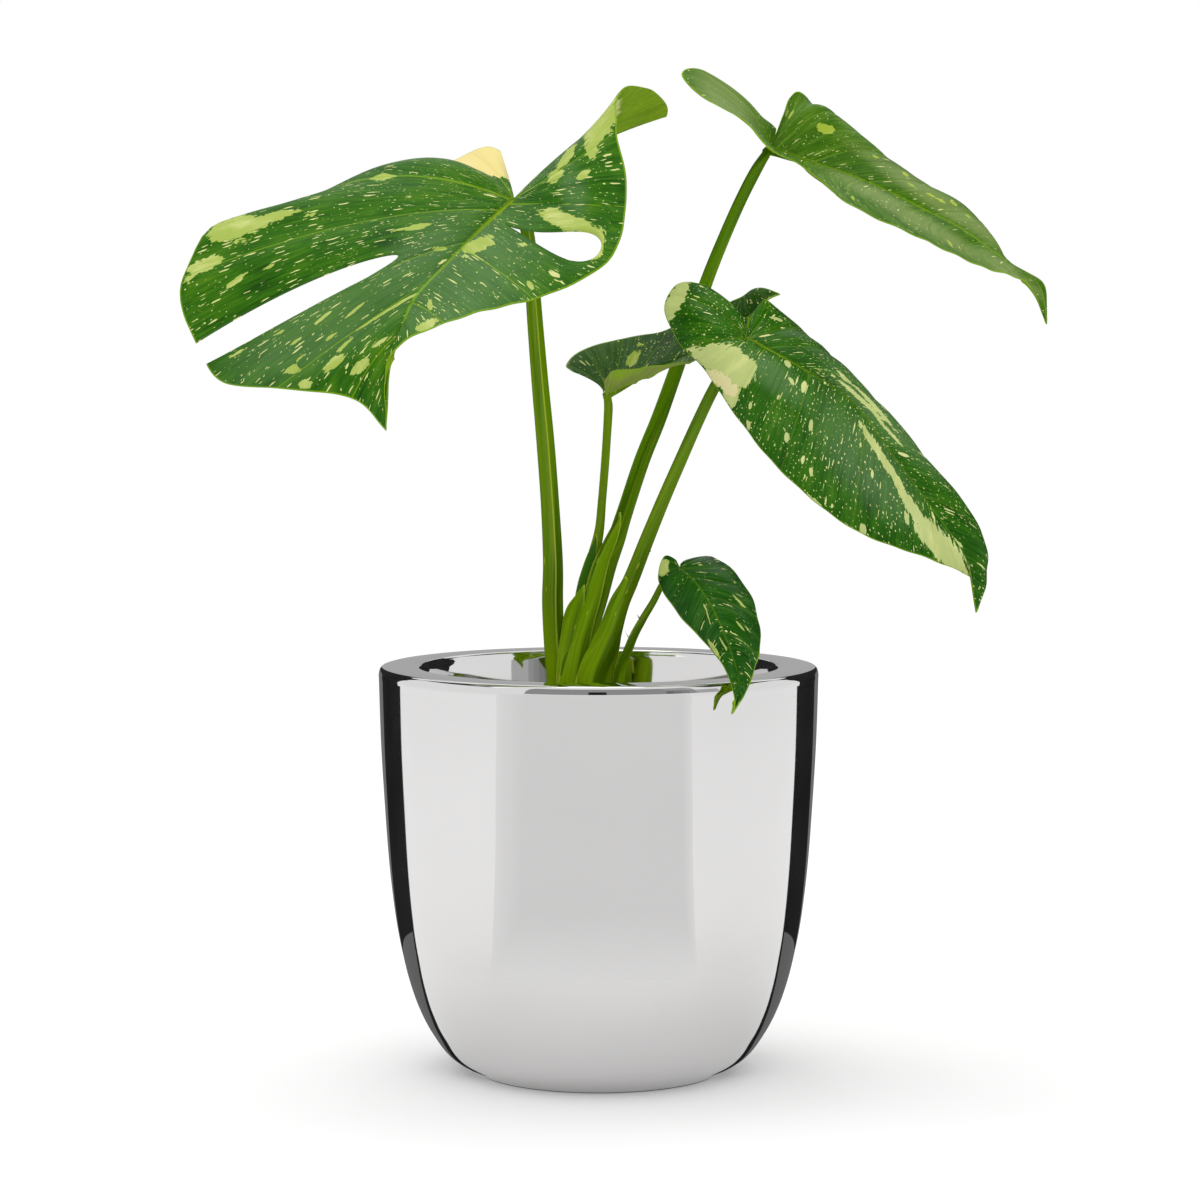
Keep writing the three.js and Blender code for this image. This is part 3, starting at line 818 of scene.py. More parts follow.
@dataclass
class Blade:
    """One leaf blade: a midrib, and on each side a fan of veins from the sinus round to the tip.

    Each vein's row has its place on the midrib, 0 at the stalk and 1 at the tip, then the readings of its
    middle and of its end on the margin.
    """

    name: str
    finish: LeafFinish
    midrib: list[Point]
    right: list[VeinRow]
    left: list[VeinRow]
    laterals: dict[Side, list[float]]
    cuts: list[Cut] = field(default_factory=list)
    splashes: dict[Side, list[Oval]] = field(default_factory=dict)
    glows: dict[Side, list[Oval]] = field(default_factory=dict)
    # Ovals of painted sheen, where the blade mirrors the light.
    sheen_patches: dict[Side, list[Oval]] = field(default_factory=dict)
    washed: tuple[float, float] | None = None
    thickness: float = 0.5
    corner: float = 0.07
    rows: int = 40
    rib_step: float = 0.012
    lobe_steps: int = 12
    quilt: float = 0.05
    quilt_limit: float = 1.4
    ripple: float = 0.3
    ripple_length: float = 17
    cut_reach: float = 0.9
    groove: tuple[float, float] = (0.34, 0.9)
    channel: tuple[float, float] = (0.6, 1.2)
    rib_ridge: tuple[float, float] = (1.0, 1.7)
    vein_ridge: tuple[float, float] = (0.3, 1.0)
    vein_width: float = 1.0
    rib_width: float = 1.7

    def rib(self, root: np.ndarray) -> np.ndarray:
        """Gives places on the midrib, from 0 at the stalk to 1 at the tip."""
        points = place(self.midrib)
        return along(points, np.asarray(root) * (len(points) - 1))

    def rows_of(self, side: Side) -> tuple[np.ndarray, np.ndarray, np.ndarray, int]:
        """Reads one side's veins.

        Args:
            side: Which half of the blade.

        Returns:
            Where each vein leaves the midrib, its pull point and its end on the margin, and how many veins
            fan out from the sinus, less one.
        """
        tip = self.midrib[-1]
        veins = [*(self.right if side is Side.RIGHT else self.left), (1, *tip, *tip)]
        starts = np.array([vein[0] for vein in veins])
        middle, margin = place([vein[1:4] for vein in veins]), place([vein[4:] for vein in veins])
        pull = 2 * middle - 0.5 * self.rib(starts) - 0.5 * margin
        return starts, pull, margin, int(np.flatnonzero(starts == 0)[-1])

    def surface(self, side: Side, vein: np.ndarray, at: np.ndarray) -> np.ndarray:
        """Gives places on the blade.

        Args:
            side: Which half of the blade.
            vein: Which vein, counted in rows from the sinus.
            at: How far along the vein, 0 at the midrib and 1 on the margin.

        Returns:
            The places, in metres.
        """
        starts, pull, margin, _ = self.rows_of(side)
        vein = np.clip(vein, 0, len(starts) - 1)
        root = np.interp(vein, np.arange(len(starts)), starts)
        t = np.asarray(at)[..., None]
        middle, end = along(pull, vein), along(margin, vein)
        return self.rib(root) * (1 - t) ** 2 + middle * 2 * t * (1 - t) + end * t**2

    def roots(self) -> np.ndarray:
        """Spreads columns along the midrib, with one on every vein that is drawn or given.

        Returns:
            Places on the midrib, from 0 at the stalk to 1 at the tip.
        """
        given = []
        for side in Side:
            starts, _, _, fan = self.rows_of(side)
            given.extend(starts)
            for lateral in self.laterals[side]:
                if lateral > fan:
                    root = float(np.interp(lateral, np.arange(len(starts)), starts))
                    given.extend([root - 0.006, root, root + 0.006])
        marks = sorted({round(float(value), 6) for value in given if 0 <= value <= 1})
        spread = [np.linspace(a, b, max(2, math.ceil((b - a) / self.rib_step) + 1))[:-1]
                  for a, b in zip(marks, marks[1:])]
        return np.concatenate([*spread, [1.0]])

    def columns(self, side: Side, roots: np.ndarray) -> tuple[np.ndarray, ...]:
        """Lists one side's columns.

        Args:
            side: Which half of the blade.
            roots: The midrib's own columns.

        Returns:
            For each column its vein, its place on the midrib, the midrib column that it shares and the edge
            of a cut that it stands for, and for each but the last whether it is joined to the next one.
        """
        starts, _, _, fan = self.rows_of(side)
        lobe = set(np.linspace(0, fan, fan * self.lobe_steps + 1)[:-1])
        for lateral in self.laterals[side]:
            if lateral < fan:
                lobe |= {lateral - 0.08, lateral, lateral + 0.08}
        lobe = np.array(sorted(lobe))
        body = np.interp(roots, starts[fan:], np.arange(fan, len(starts)))
        vein = np.concatenate([lobe, body])
        root = np.concatenate([np.zeros(len(lobe)), roots])
        shared = np.concatenate([np.zeros(len(lobe), int), np.arange(len(roots))])
        edge = -np.ones(len(vein), int)
        joined = np.ones(len(vein), bool)
        for cut in sorted((cut for cut in self.cuts if cut.side is side), key=lambda one: -one.vein):
            index = int(np.argmin(abs(vein - cut.vein)))
            vein = np.insert(vein, index + 1, vein[index])
            root = np.insert(root, index + 1, root[index])
            shared = np.insert(shared, index + 1, shared[index])
            edge = np.insert(edge, index + 1, 1)
            joined = np.insert(joined, index, False)
        return vein, root, shared, edge, joined[:-1]

    def levels(self, side: Side) -> np.ndarray:
        """Spreads rows from the midrib to the margin, closer at both, with one at each end of a cut.

        Args:
            side: Which half of the blade.

        Returns:
            Places along a vein, from 0 at the midrib to 1 on the margin.
        """
        rows = set(np.linspace(0, 1, self.rows + 1)) | {0.004, 0.009, 0.015, 0.99}
        for cut in self.cuts:
            if cut.side is side:
                rows |= {cut.start, cut.start + 0.004, cut.start + 0.012}
                rows |= {cut.end, cut.end - 0.003, cut.end - 0.01, cut.end - 0.02} if cut.end < 1 else set()
        return np.array(sorted(rows))

    def opened(
        self, side: Side, vein: np.ndarray, edge: np.ndarray, at: np.ndarray
    ) -> tuple[np.ndarray, np.ndarray]:
        """Moves the columns beside each cut away from it.

        Args:
            side: Which half of the blade.
            vein: Each column's vein.
            edge: The edge of a cut that each column stands for, -1 or 1.
            at: The rows, from the midrib to the margin.

        Returns:
            The vein that each place of the grid lies on, and where a column repeats the one before.
        """
        moved = np.repeat(vein[:, None], len(at), 1)
        same = np.zeros(moved.shape, bool)
        for cut in self.cuts:
            if cut.side is side:
                apart = vein - cut.vein
                middle = abs(apart) < 1e-6
                way = np.where(middle, edge, np.sign(apart))
                share = way * np.where(way < 0, cut.before, cut.after)
                share = share * np.maximum(0, 1 - abs(apart) / self.cut_reach)
                opening = np.where(at <= cut.start, 0, cut.opening(at))
                moved += share[:, None] * opening[None]
                same[middle & (edge == 1)] = (opening == 0) | (at >= cut.end if cut.end < 1 else False)
        return moved, same

    def spacing(self, half: HalfGrid) -> np.ndarray:
        """Measures how far apart the veins are.

        Args:
            half: The half blade's grid.

        Returns:
            The millimetres from one vein to the next, at each place.
        """
        last = len(self.rows_of(half.side)[0]) - 1
        low, high = np.clip(half.vein - 0.04, 0, last), np.clip(half.vein + 0.04, 0, last)
        apart = self.surface(half.side, high, half.out) - self.surface(half.side, low, half.out)
        return np.linalg.norm(apart, axis=-1) / np.maximum(high - low, 1e-6) / MM

    def belly(self, half: HalfGrid, spacing: np.ndarray) -> np.ndarray:
        """Works out how the blade swells between its side veins.

        Args:
            half: The half blade's grid.
            spacing: The millimetres from one vein to the next, at each place.

        Returns:
            Heights in millimetres.
        """
        last = len(self.rows_of(half.side)[0]) - 1
        lines = np.array(sorted({0.0, *self.laterals[half.side], float(last)}))
        slot = np.clip(np.searchsorted(lines, half.vein, "right") - 1, 0, len(lines) - 2)
        panel = lines[slot + 1] - lines[slot]
        part = np.clip((half.vein - lines[slot]) / panel, 0, 1)
        belly = np.minimum(self.quilt_limit, self.quilt * panel * spacing) * np.sin(np.pi * part) ** 0.8
        return belly * np.clip(4 * half.out * (1 - half.out), 0, 1) ** 0.7

    @staticmethod
    def fold(size: tuple[float, float], away: np.ndarray) -> np.ndarray:
        """Gives the height of a soft ridge of a given height and width, at distances from its middle."""
        return size[0] * np.exp(-((away / size[1]) ** 2))

    @staticmethod
    def deepest(ovals: list[Oval], seen: np.ndarray, outside: float) -> np.ndarray:
        """Finds how deep readings lie in any of some ovals.

        Args:
            ovals: Rows of across, up, long, wide and turn.
            seen: [across, up] readings.
            outside: The least that is given.

        Returns:
            One number for each reading.
        """
        fields = [Splash(*oval).field(seen) for oval in ovals]
        return np.max([np.full(seen.shape[:-1], outside), *fields], axis=0)

    def stains(self, half: HalfGrid) -> list[np.ndarray]:
        """Works out where the blade is cream or bright, and where a sheen is painted on it.

        Args:
            half: The half blade's grid.

        Returns:
            How deep each place lies in a splash, how deep in a bright one, and how much painted sheen it
            takes.
        """
        seen = reading(half.points)
        glow = self.deepest(self.glows.get(half.side, []), seen, -1)
        stain = np.maximum(self.deepest(self.splashes.get(half.side, []), seen, -1), glow + 0.1)
        if self.washed and half.side is Side.RIGHT:
            bound, start = self.washed
            wash = np.clip(np.minimum((bound - half.vein) / 0.8, (half.out - start) / 0.12), -1, 1)
            stain, glow = np.maximum(stain, wash), np.maximum(glow, wash)
        # Painted sheen, from the ovals where the blade mirrors the light.
        painted_sheen = self.deepest(self.sheen_patches.get(half.side, []), seen, 0)
        return [stain, glow, np.clip(painted_sheen * 1.6, 0, 1)]

    def half(self, side: Side, roots: np.ndarray) -> dict[str, np.ndarray]:
        """Works out one half of the blade on its own grid.

        Args:
            side: Which half.
            roots: The midrib's own columns.

        Returns:
            Arrays by name: places, heights above the smooth blade, ridges below it, corner values, shared
            midrib columns, which columns are joined, and where a column repeats the one before.
        """
        vein, root, shared, edge, joined = self.columns(side, roots)
        at = self.levels(side)
        moved, same = self.opened(side, vein, edge, at)
        grid = at[None] * (1 - self.corner * np.clip(1 - vein / 0.6, 0, 1) ** 2.4)[:, None]
        points = self.surface(side, moved, grid)
        points[:, 0] = self.rib(root)
        root = root[:, None]
        half = HalfGrid(side, moved, grid, points)
        spacing = self.spacing(half)
        reach = travelled(points, 1) / MM
        around = travelled(self.surface(side, vein, np.full(len(vein), 0.62)), 0)[:, None] / MM
        off = abs(moved[..., None] - np.array(self.laterals[side])).min(-1) * spacing
        fade = 1 - root * 0.75
        phase = 1 if side is Side.LEFT else 0
        wave = self.ripple * grid**3 * np.sin(2 * np.pi * around / self.ripple_length + phase)
        groove = self.fold(self.groove, off) * (1 - grid) ** 0.4 + self.fold(self.channel, reach) * fade
        height = self.belly(half, spacing) - groove + wave
        ridge = self.fold(self.rib_ridge, reach) * fade + self.fold(self.vein_ridge, off) * (1 - grid)
        vein_half = np.maximum(0.3, 0.62 * (1 - grid) ** 0.6) * self.vein_width
        rib_half = self.rib_width * np.maximum(0.14, 1 - root) ** 0.8
        marked = np.minimum(off / vein_half, np.where(grid < 0.5, reach / rib_half, 9.0))
        stain, glow, painted_sheen = self.stains(half)
        flow = around + (500 if side is Side.LEFT else 0)
        values = np.stack([
            flow + 0 * grid, reach, np.full(grid.shape, len(self.name) * 1.7),
            marked, reach[:, -1:] - reach, painted_sheen,
            # The third mark carries the painted sheen.
            stain, glow,
        ], -1)
        return {"points": points, "height": height, "ridge": ridge, "values": values,
                "shared": shared, "joined": joined, "same": same}

    def build(self) -> Piece:
        """Builds the blade as a closed thin solid.

        Returns:
            The blade's object.
        """
        roots = self.roots()
        points, heights, ridges = [self.rib(roots)], [np.zeros(len(roots))], [np.zeros(len(roots))]
        triangles, values = [], []
        count = len(roots)
        for side in Side:
            half = self.half(side, roots)
            shape = half["height"].shape
            ids = count + np.arange(half["height"].size).reshape(shape)
            for index in np.flatnonzero(half["same"].any(1)):
                ids[index][half["same"][index]] = ids[index - 1][half["same"][index]]
            ids[:, 0] = half["shared"]
            ids[-1, :] = len(roots) - 1
            heights[0][half["shared"]] = half["height"][:, 0]
            ridges[0][half["shared"]] = half["ridge"][:, 0]
            points.append(half["points"].reshape(-1, 3))
            heights.append(half["height"].ravel())
            ridges.append(half["ridge"].ravel())
            count += half["height"].size
            shared, raw = Skin.grid_triangles(ids, side is Side.RIGHT, half["joined"])
            triangles.append(shared)
            values.append(half["values"].reshape(-1, half["values"].shape[-1])[raw])
        skin = Skin(np.concatenate(points), np.concatenate(triangles), np.concatenate(values))
        used = skin.compact()
        height = np.concatenate(heights)[used] * MM
        ridge = np.concatenate(ridges)[used] * MM
        normals = skin.normals()
        middle = skin.points + normals * height[:, None]
        upper = middle + normals * self.thickness / 2 * MM
        lower = middle - normals * (self.thickness / 2 * MM + ridge)[:, None]
        solid, faces, corner, flat = skin.closed(upper, lower)
        bands = {"flow": corner[..., 0:3], "marks": corner[..., 3:6], "stain": corner[..., 6:9]}
        return make_object(self.name + "_blade", solid, faces, self.finish.material(), bands, flat)

    def under_rib(self, root: float, drop: float) -> np.ndarray:
        """Finds a place under the midrib.

        Args:
            root: Where, from 0 at the stalk to 1 at the tip.
            drop: How far below the blade, in millimetres.

        Returns:
            The place, in metres.
        """
        here = self.rib(np.array(root))
        ahead = unit(self.rib(np.array(root + 0.02)) - here)
        sides = []
        for side in Side:
            starts, _, _, fan = self.rows_of(side)
            vein = np.interp(root, starts[fan:], np.arange(fan, len(starts)))
            sides.append(unit(self.surface(side, np.array(vein), np.array(0.12)) - here))
        up = unit(np.cross(sides[0] - sides[1], ahead))
        return here - up * drop * MM


@dataclass
class Stalk:
    """One leaf stalk, carried up through oval stations and on under the blade's midrib."""

    name: str
    finish: StalkFinish
    stations: list[tuple[float, float, float, float, float]]
    blade: Blade
    run: float = 0.2
    sides: int = 28
    steps: int = 7
    furrow: float = 0.1
    furrow_turn: float = 4.0
    furrow_width: float = 0.35
    crest: float = 4.75
    crest_height: float = 0.1
    crest_width: float = 0.16
    sheathed: tuple[float, float] = (0.0035, 0.0065)
    # The strength of the painted highlight along the crest beyond the sheath.
    line: float = 0.0
    sink: float = 0.2

    def centres_and_sizes(self) -> tuple[np.ndarray, np.ndarray]:
        """Adds the stretch under the midrib to the stalk's stations.

        Returns:
            Centres in metres, and half widths and half depths in metres.
        """
        rows = np.array(self.stations, float)[:-1]
        centres = list(place(rows[:, :3]))
        sizes = list(rows[:, 3:] * MM)
        first = sizes[-1][0] / MM
        for share, root in ((0.95, 0.0), (0.72, self.run * 0.35), (0.45, self.run * 0.7), (0.2, self.run)):
            radius = first * share
            centres.append(self.blade.under_rib(root, radius * 0.75 + self.sink))
            sizes.append(np.array([radius, radius * 0.9]) * MM)
        return np.array(centres), np.array(sizes)

    def swell(self, turn: np.ndarray, length: np.ndarray, sheath: np.ndarray) -> np.ndarray:
        """Works out how far the stalk's skin stands from its axis.

        Args:
            turn: Angles round the stalk, as one row.
            length: How far along the stalk each ring is, in metres, as one column.
            sheath: How much each ring is part of the sheath, 0 to 1, as one column.

        Returns:
            A share of the ring's size for each ring and angle.
        """
        furrow = self.furrow * np.exp(-(((turn - self.furrow_turn) / self.furrow_width) ** 2))
        crest = self.crest_height * np.exp(-(((turn - self.crest) / self.crest_width) ** 2))
        return 1 + 0.02 * np.cos(5 * turn + 1.3 + length * 6) + sheath * (crest - furrow)

    def build(self) -> Piece:
        """Builds the stalk.

        Returns:
            The stalk's object.
        """
        centres, sizes = self.centres_and_sizes()
        last = len(centres) - 1
        at = np.linspace(0, last, last * self.steps + 1)
        centre, size = along(centres, at), np.maximum(along(sizes, at), 0.0002)
        ahead, behind = along(centres, np.minimum(at + 0.25, last)), along(centres, np.maximum(at - 0.25, 0))
        tangent = unit(ahead - behind)
        wide = unit(np.cross([0.0, 1.0, 0.0], tangent))
        deep = unit(np.cross(tangent, wide))
        turn = np.linspace(0, 2 * np.pi, self.sides + 1)[None]
        length = travelled(centre, 0)[:, None]
        low, high = self.sheathed
        sheath = np.clip((size[:, :1] - low) / (high - low), 0, 1)
        out = size[:, None] * self.swell(turn, length, sheath)[..., None]
        ring = (
            centre[:, None]
            + wide[:, None] * (np.cos(turn) * out[..., 0])[..., None]
            + deep[:, None] * (np.sin(turn) * out[..., 1])[..., None]
        )
        ids = numbered(ring)
        ids[:, -1] = ids[:, 0]
        whole = np.ones(ids.shape)
        values = np.stack([
            turn * size.mean(1)[:, None] / MM, length / MM * whole, whole * sum(map(ord, self.name)) * 3.1,
            # Where the painted highlight runs down the crest, and at which angle.
            np.maximum(sheath, self.line) * whole, turn * whole, self.crest * whole,
        ], -1)
        shared, raw = Skin.grid_triangles(ids, True)
        points, faces, corner = [ring.reshape(-1, 3)], [shared], [values.reshape(-1, 6)[raw]]
        for end, row in enumerate((0, -1)):
            fan = np.stack([ids[row, 1:], ids[row, :-1], np.full(self.sides, ids.size + end)], -1)
            points.append(centre[row][None])
            faces.append(fan[:, ::-1] if end else fan)
            corner.append(np.broadcast_to(values[row, 0], (self.sides, 3, 6)))
        skin = Skin(np.concatenate(points), np.concatenate(faces), np.concatenate(corner))
        skin.compact()
        bands = {"flow": skin.values[..., 0:3], "marks": skin.values[..., 3:6]}
        return make_object(self.name + "_stalk", skin.points, skin.triangles, self.finish.material(), bands)


@dataclass
class Sheath:
    """A thin pointed flap that clasps the foot of a stalk, as rows of left, middle and right points."""

    name: str
    finish: StalkFinish
    rows: list[tuple[Point, Point, Point]]
    thickness: float = 0.7
    edge_width: float = 1.0
    steps: int = 8
    columns: int = 17

    def build(self) -> Piece:
        """Builds the flap.

        Returns:
            The flap's object.
        """
        last = len(self.rows) - 1
        at = np.linspace(0, last, last * self.steps + 1)
        left, middle, right = (along(place([row[i] for row in self.rows]), at) for i in range(3))
        t = np.linspace(0, 1, self.columns)[None, :, None]
        pull = (2 * middle - 0.5 * left - 0.5 * right)[:, None]
        grid = left[:, None] * (1 - t) ** 2 + pull * 2 * t * (1 - t) + right[:, None] * t**2
        across = travelled(grid, 1) / MM
        climb = travelled(middle, 0)[:, None] / MM
        edge = np.clip(1 - np.minimum(across, across[:, -1:] - across) / self.edge_width, 0, 1)
        ones = np.ones_like(across)
        values = np.stack([across, climb * ones, ones * len(self.name) * 7.7, edge, ones, ones], -1)
        shared, raw = Skin.grid_triangles(numbered(grid), True)
        skin = Skin(grid.reshape(-1, 3), shared, values.reshape(-1, 6)[raw])
        skin.compact()
        normals = skin.normals() * self.thickness / 2 * MM
        points, faces, corner, flat = skin.closed(skin.points + normals, skin.points - normals)
        bands = {"flow": corner[..., 0:3], "marks": corner[..., 3:6]}
        return make_object(self.name, points, faces, self.finish.material(), bands, flat)


@dataclass
class Spur:
    """A small dry scale, spur or hair on a stalk, tapering along its points."""

    name: str
    finish: EarthFinish
    points: list[Point]
    thick: float
    taper: float = 0.9
    steps: int = 5
    sides: int = 8

    def build(self) -> Piece:
        """Builds the spur.

        Returns:
            The spur's object.
        """
        last = len(self.points) - 1
        at = np.linspace(0, last, last * self.steps + 1)
        centre = along(place(self.points), at)
        radius = self.thick * MM * (1 - self.taper * at / last)
        tangent = unit(np.gradient(centre, axis=0))
        wide = unit(np.cross(tangent, [0.3, 1.0, 0.1]))
        deep = np.cross(tangent, wide)
        turn = np.linspace(0, 2 * np.pi, self.sides, endpoint=False)[None, :, None]
        ring = centre[:, None] + radius[:, None, None] * (
            wide[:, None] * np.cos(turn) + deep[:, None] * np.sin(turn))
        ids = wrapped(numbered(ring))
        faces, _ = Skin.grid_triangles(ids, True)
        points = np.concatenate([ring.reshape(-1, 3), centre[[0, -1]]])
        foot, tip = np.full(self.sides, len(points) - 2), np.full(self.sides, len(points) - 1)
        low = np.stack([ids[0, 1:], ids[0, :-1], foot], -1)
        high = np.stack([ids[-1, :-1], ids[-1, 1:], tip], -1)
        return make_object(self.name, points, np.concatenate([faces, low, high]), self.finish.material())


def make_round(name: str, rings: np.ndarray, material: Material) -> Piece:
    """Makes a closed body of rings, where the first and the last one are drawn together to a point.

    Args:
        name: The piece's name.
        rings: Points in metres, (rings, sides, 3), up the outside.
        material: Its finish.

    Returns:
        The body's object.
    """
    ids = numbered(rings)
    ids[0], ids[-1] = ids[0, 0], ids[-1, 0]
    faces, _ = Skin.grid_triangles(wrapped(ids), True)
    skin = Skin(rings.reshape(-1, 3), faces, np.zeros((len(faces), 3, 1)))
    skin.compact()
    return make_object(name, skin.points, skin.triangles, material)


def turned(name: str, profile: np.ndarray, sides: int, material: Material) -> Piece:
    """Turns a profile about the upright axis into a closed body.

    Args:
        name: The piece's name.
        profile: [radius, height] rows in metres, from the axis, up the outside and back to the axis.
        sides: How many sides the body has.
        material: Its finish.

    Returns:
        The body's object.
    """
    turn = np.linspace(0, 2 * np.pi, sides, endpoint=False)
    radius, height = profile[:, :1], np.repeat(profile[:, 1:], sides, 1)
    return make_round(name, np.stack([radius * np.cos(turn), radius * np.sin(turn), height], -1), material)


def arc(radius: float, height: float, size: float, start: float, end: float, steps: int) -> np.ndarray:
    """Gives [radius, height] rows on an arc, from one angle in degrees to another."""
    turn = np.radians(np.linspace(start, end, steps + 1))
    return np.stack([radius + np.cos(turn) * size, height + np.sin(turn) * size], -1)


@dataclass
class Planter:
    """The spun steel planter, with its rolled flat rim and the black liner that stands in it."""

    rim_radius: float = 110
    height: float = 204.6
    rim_width: float = 20.5
    fillet: float = 3
    lip_fillet: float = 1.5
    sheet: float = 1.3
    skirt: float = 34
    skirt_taper: float = 4
    base_radius: float = 60
    base_edge: float = 4
    shell_sides: int = 240
    liner_base: float = 54
    liner_top: float = 80
    liner_height: float = 180
    liner_wall: float = 1.2
    liner_lip: float = 3.2
    liner_gap: float = 0.3
    liner_steps: int = 7
    liner_sides: int = 144
    edge: tuple[tuple[float, float], ...] = (
        (0, -4.4), (-0.09, -3.5), (-0.24, -2.6), (-0.48, -1.7), (-0.72, -1.12), (-1.1, -0.62), (-1.6, -0.26),
        (-2.3, -0.06), (-3, 0),
    )
    wall: tuple[tuple[float, float], ...] = (
        (60, 0), (75, 8.8), (84.3, 21), (90.4, 33), (94.8, 45.5), (98.2, 59),
        (101.8, 78), (105, 105), (107.3, 137), (109, 168), (110, 202.4),
    )

    def skirt_rows(self, lip: float, top: float, foot: float) -> np.ndarray:
        """Gives the skirt inside the rim, which narrows a little downward, down its face and up its back.

        Args:
            lip: The radius of its upper edge.
            top: The height of its upper edge.
            foot: The height of its lower edge.

        Returns:
            [radius, height] rows, close together at its folded foot.
        """
        share = np.array([0.03, 0.1, 0.25, 0.5, 0.75, 0.94, 0.985])
        face = np.stack([lip - self.skirt_taper * share**0.6, top + (foot - top) * share], -1)
        low = lip - self.skirt_taper
        fold = arc(low + self.sheet / 2, foot + self.sheet / 2, self.sheet / 2, 180, 360, 8)
        back = face[::-1] + [self.sheet, 0]
        return np.concatenate([face, fold, back[:-1], [[lip + self.sheet, top - 0.4]]])

    def build_shell(self) -> Piece:
        """Builds the steel shell.

        Returns:
            The shell's object.
        """
        wall = np.array(self.wall, float)
        last = len(wall) - 1
        at = np.linspace(0, last, last * 9 + 1)
        outside = along(wall, at)
        rise = unit(along(wall, np.minimum(at + 0.1, last)) - along(wall, np.maximum(at - 0.1, 0)))
        inside = outside + np.stack([-rise[:, 1], rise[:, 0]], -1) * self.sheet
        lip = self.rim_radius - self.rim_width
        lip_top, foot = self.height - self.lip_fillet, self.height - self.skirt
        profile = np.concatenate([
            [[0, 0], [self.base_radius - self.base_edge, 0]],
            outside[:-1],
            np.array(self.edge) + [self.rim_radius, self.height],
            arc(lip + self.lip_fillet, lip_top, self.lip_fillet, 90, 180, 8),
            self.skirt_rows(lip, lip_top, foot),
            [[lip + self.lip_fillet, self.height - self.sheet]],
            [[self.rim_radius - self.fillet, self.height - self.sheet]],
            inside[::-1][1:-3],
            [[self.base_radius - self.sheet, self.sheet], [0, self.sheet]],
        ])
        finish = SteelFinish("polished_steel")
        return turned("planter_shell", profile * MM, self.shell_sides, finish.material())

    def liner_radius(self, height: float) -> float:
        """Gives the radius of the liner's slanted wall at a height, in millimetres."""
        low = self.sheet + self.liner_gap
        share = (height - low) / (self.liner_height - low)
        return self.liner_base + (self.liner_top - self.liner_base) * share

    def build_liner(self) -> Piece:
        """Builds the nursery liner, with a rolled lip and steps moulded into its wall.

        Returns:
            The liner's object.
        """
        low = self.sheet + self.liner_gap
        floor = low + self.liner_wall
        top, lip = self.liner_height, self.liner_height - self.liner_wall * 2
        outer, inner = self.liner_top + self.liner_lip, self.liner_top - self.liner_wall
        steps = [
            [self.liner_radius(height) - inset, height + rise]
            for height in np.linspace(low + 20, lip - 12, self.liner_steps)
            for inset, rise in ((0.15, -0.8), (0.7, 0), (0, 0.8))
        ]
        profile = np.array([
            [0, low], [self.liner_base - 2, low], [self.liner_radius(low), low + 2], *steps,
            [self.liner_radius(lip), lip], [outer - 0.5, lip], [outer, lip + 0.5], [outer, top - 0.8],
            [outer - 0.8, top], [inner + 0.8, top], [inner, top - 0.8],
            [self.liner_radius(floor) - self.liner_wall, floor], [0, floor],
        ])
        finish = LinerFinish("liner_plastic")
        return turned("nursery_liner", profile * MM, self.liner_sides, finish.material())

    def build(self) -> list[Piece]:
        """Builds both pieces and seats them in the frame.

        Returns:
            The shell and the liner.
        """
        shell, liner = self.build_shell(), self.build_liner()
        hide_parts("pot")
        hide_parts("grow_pot")
        return [shell, liner]


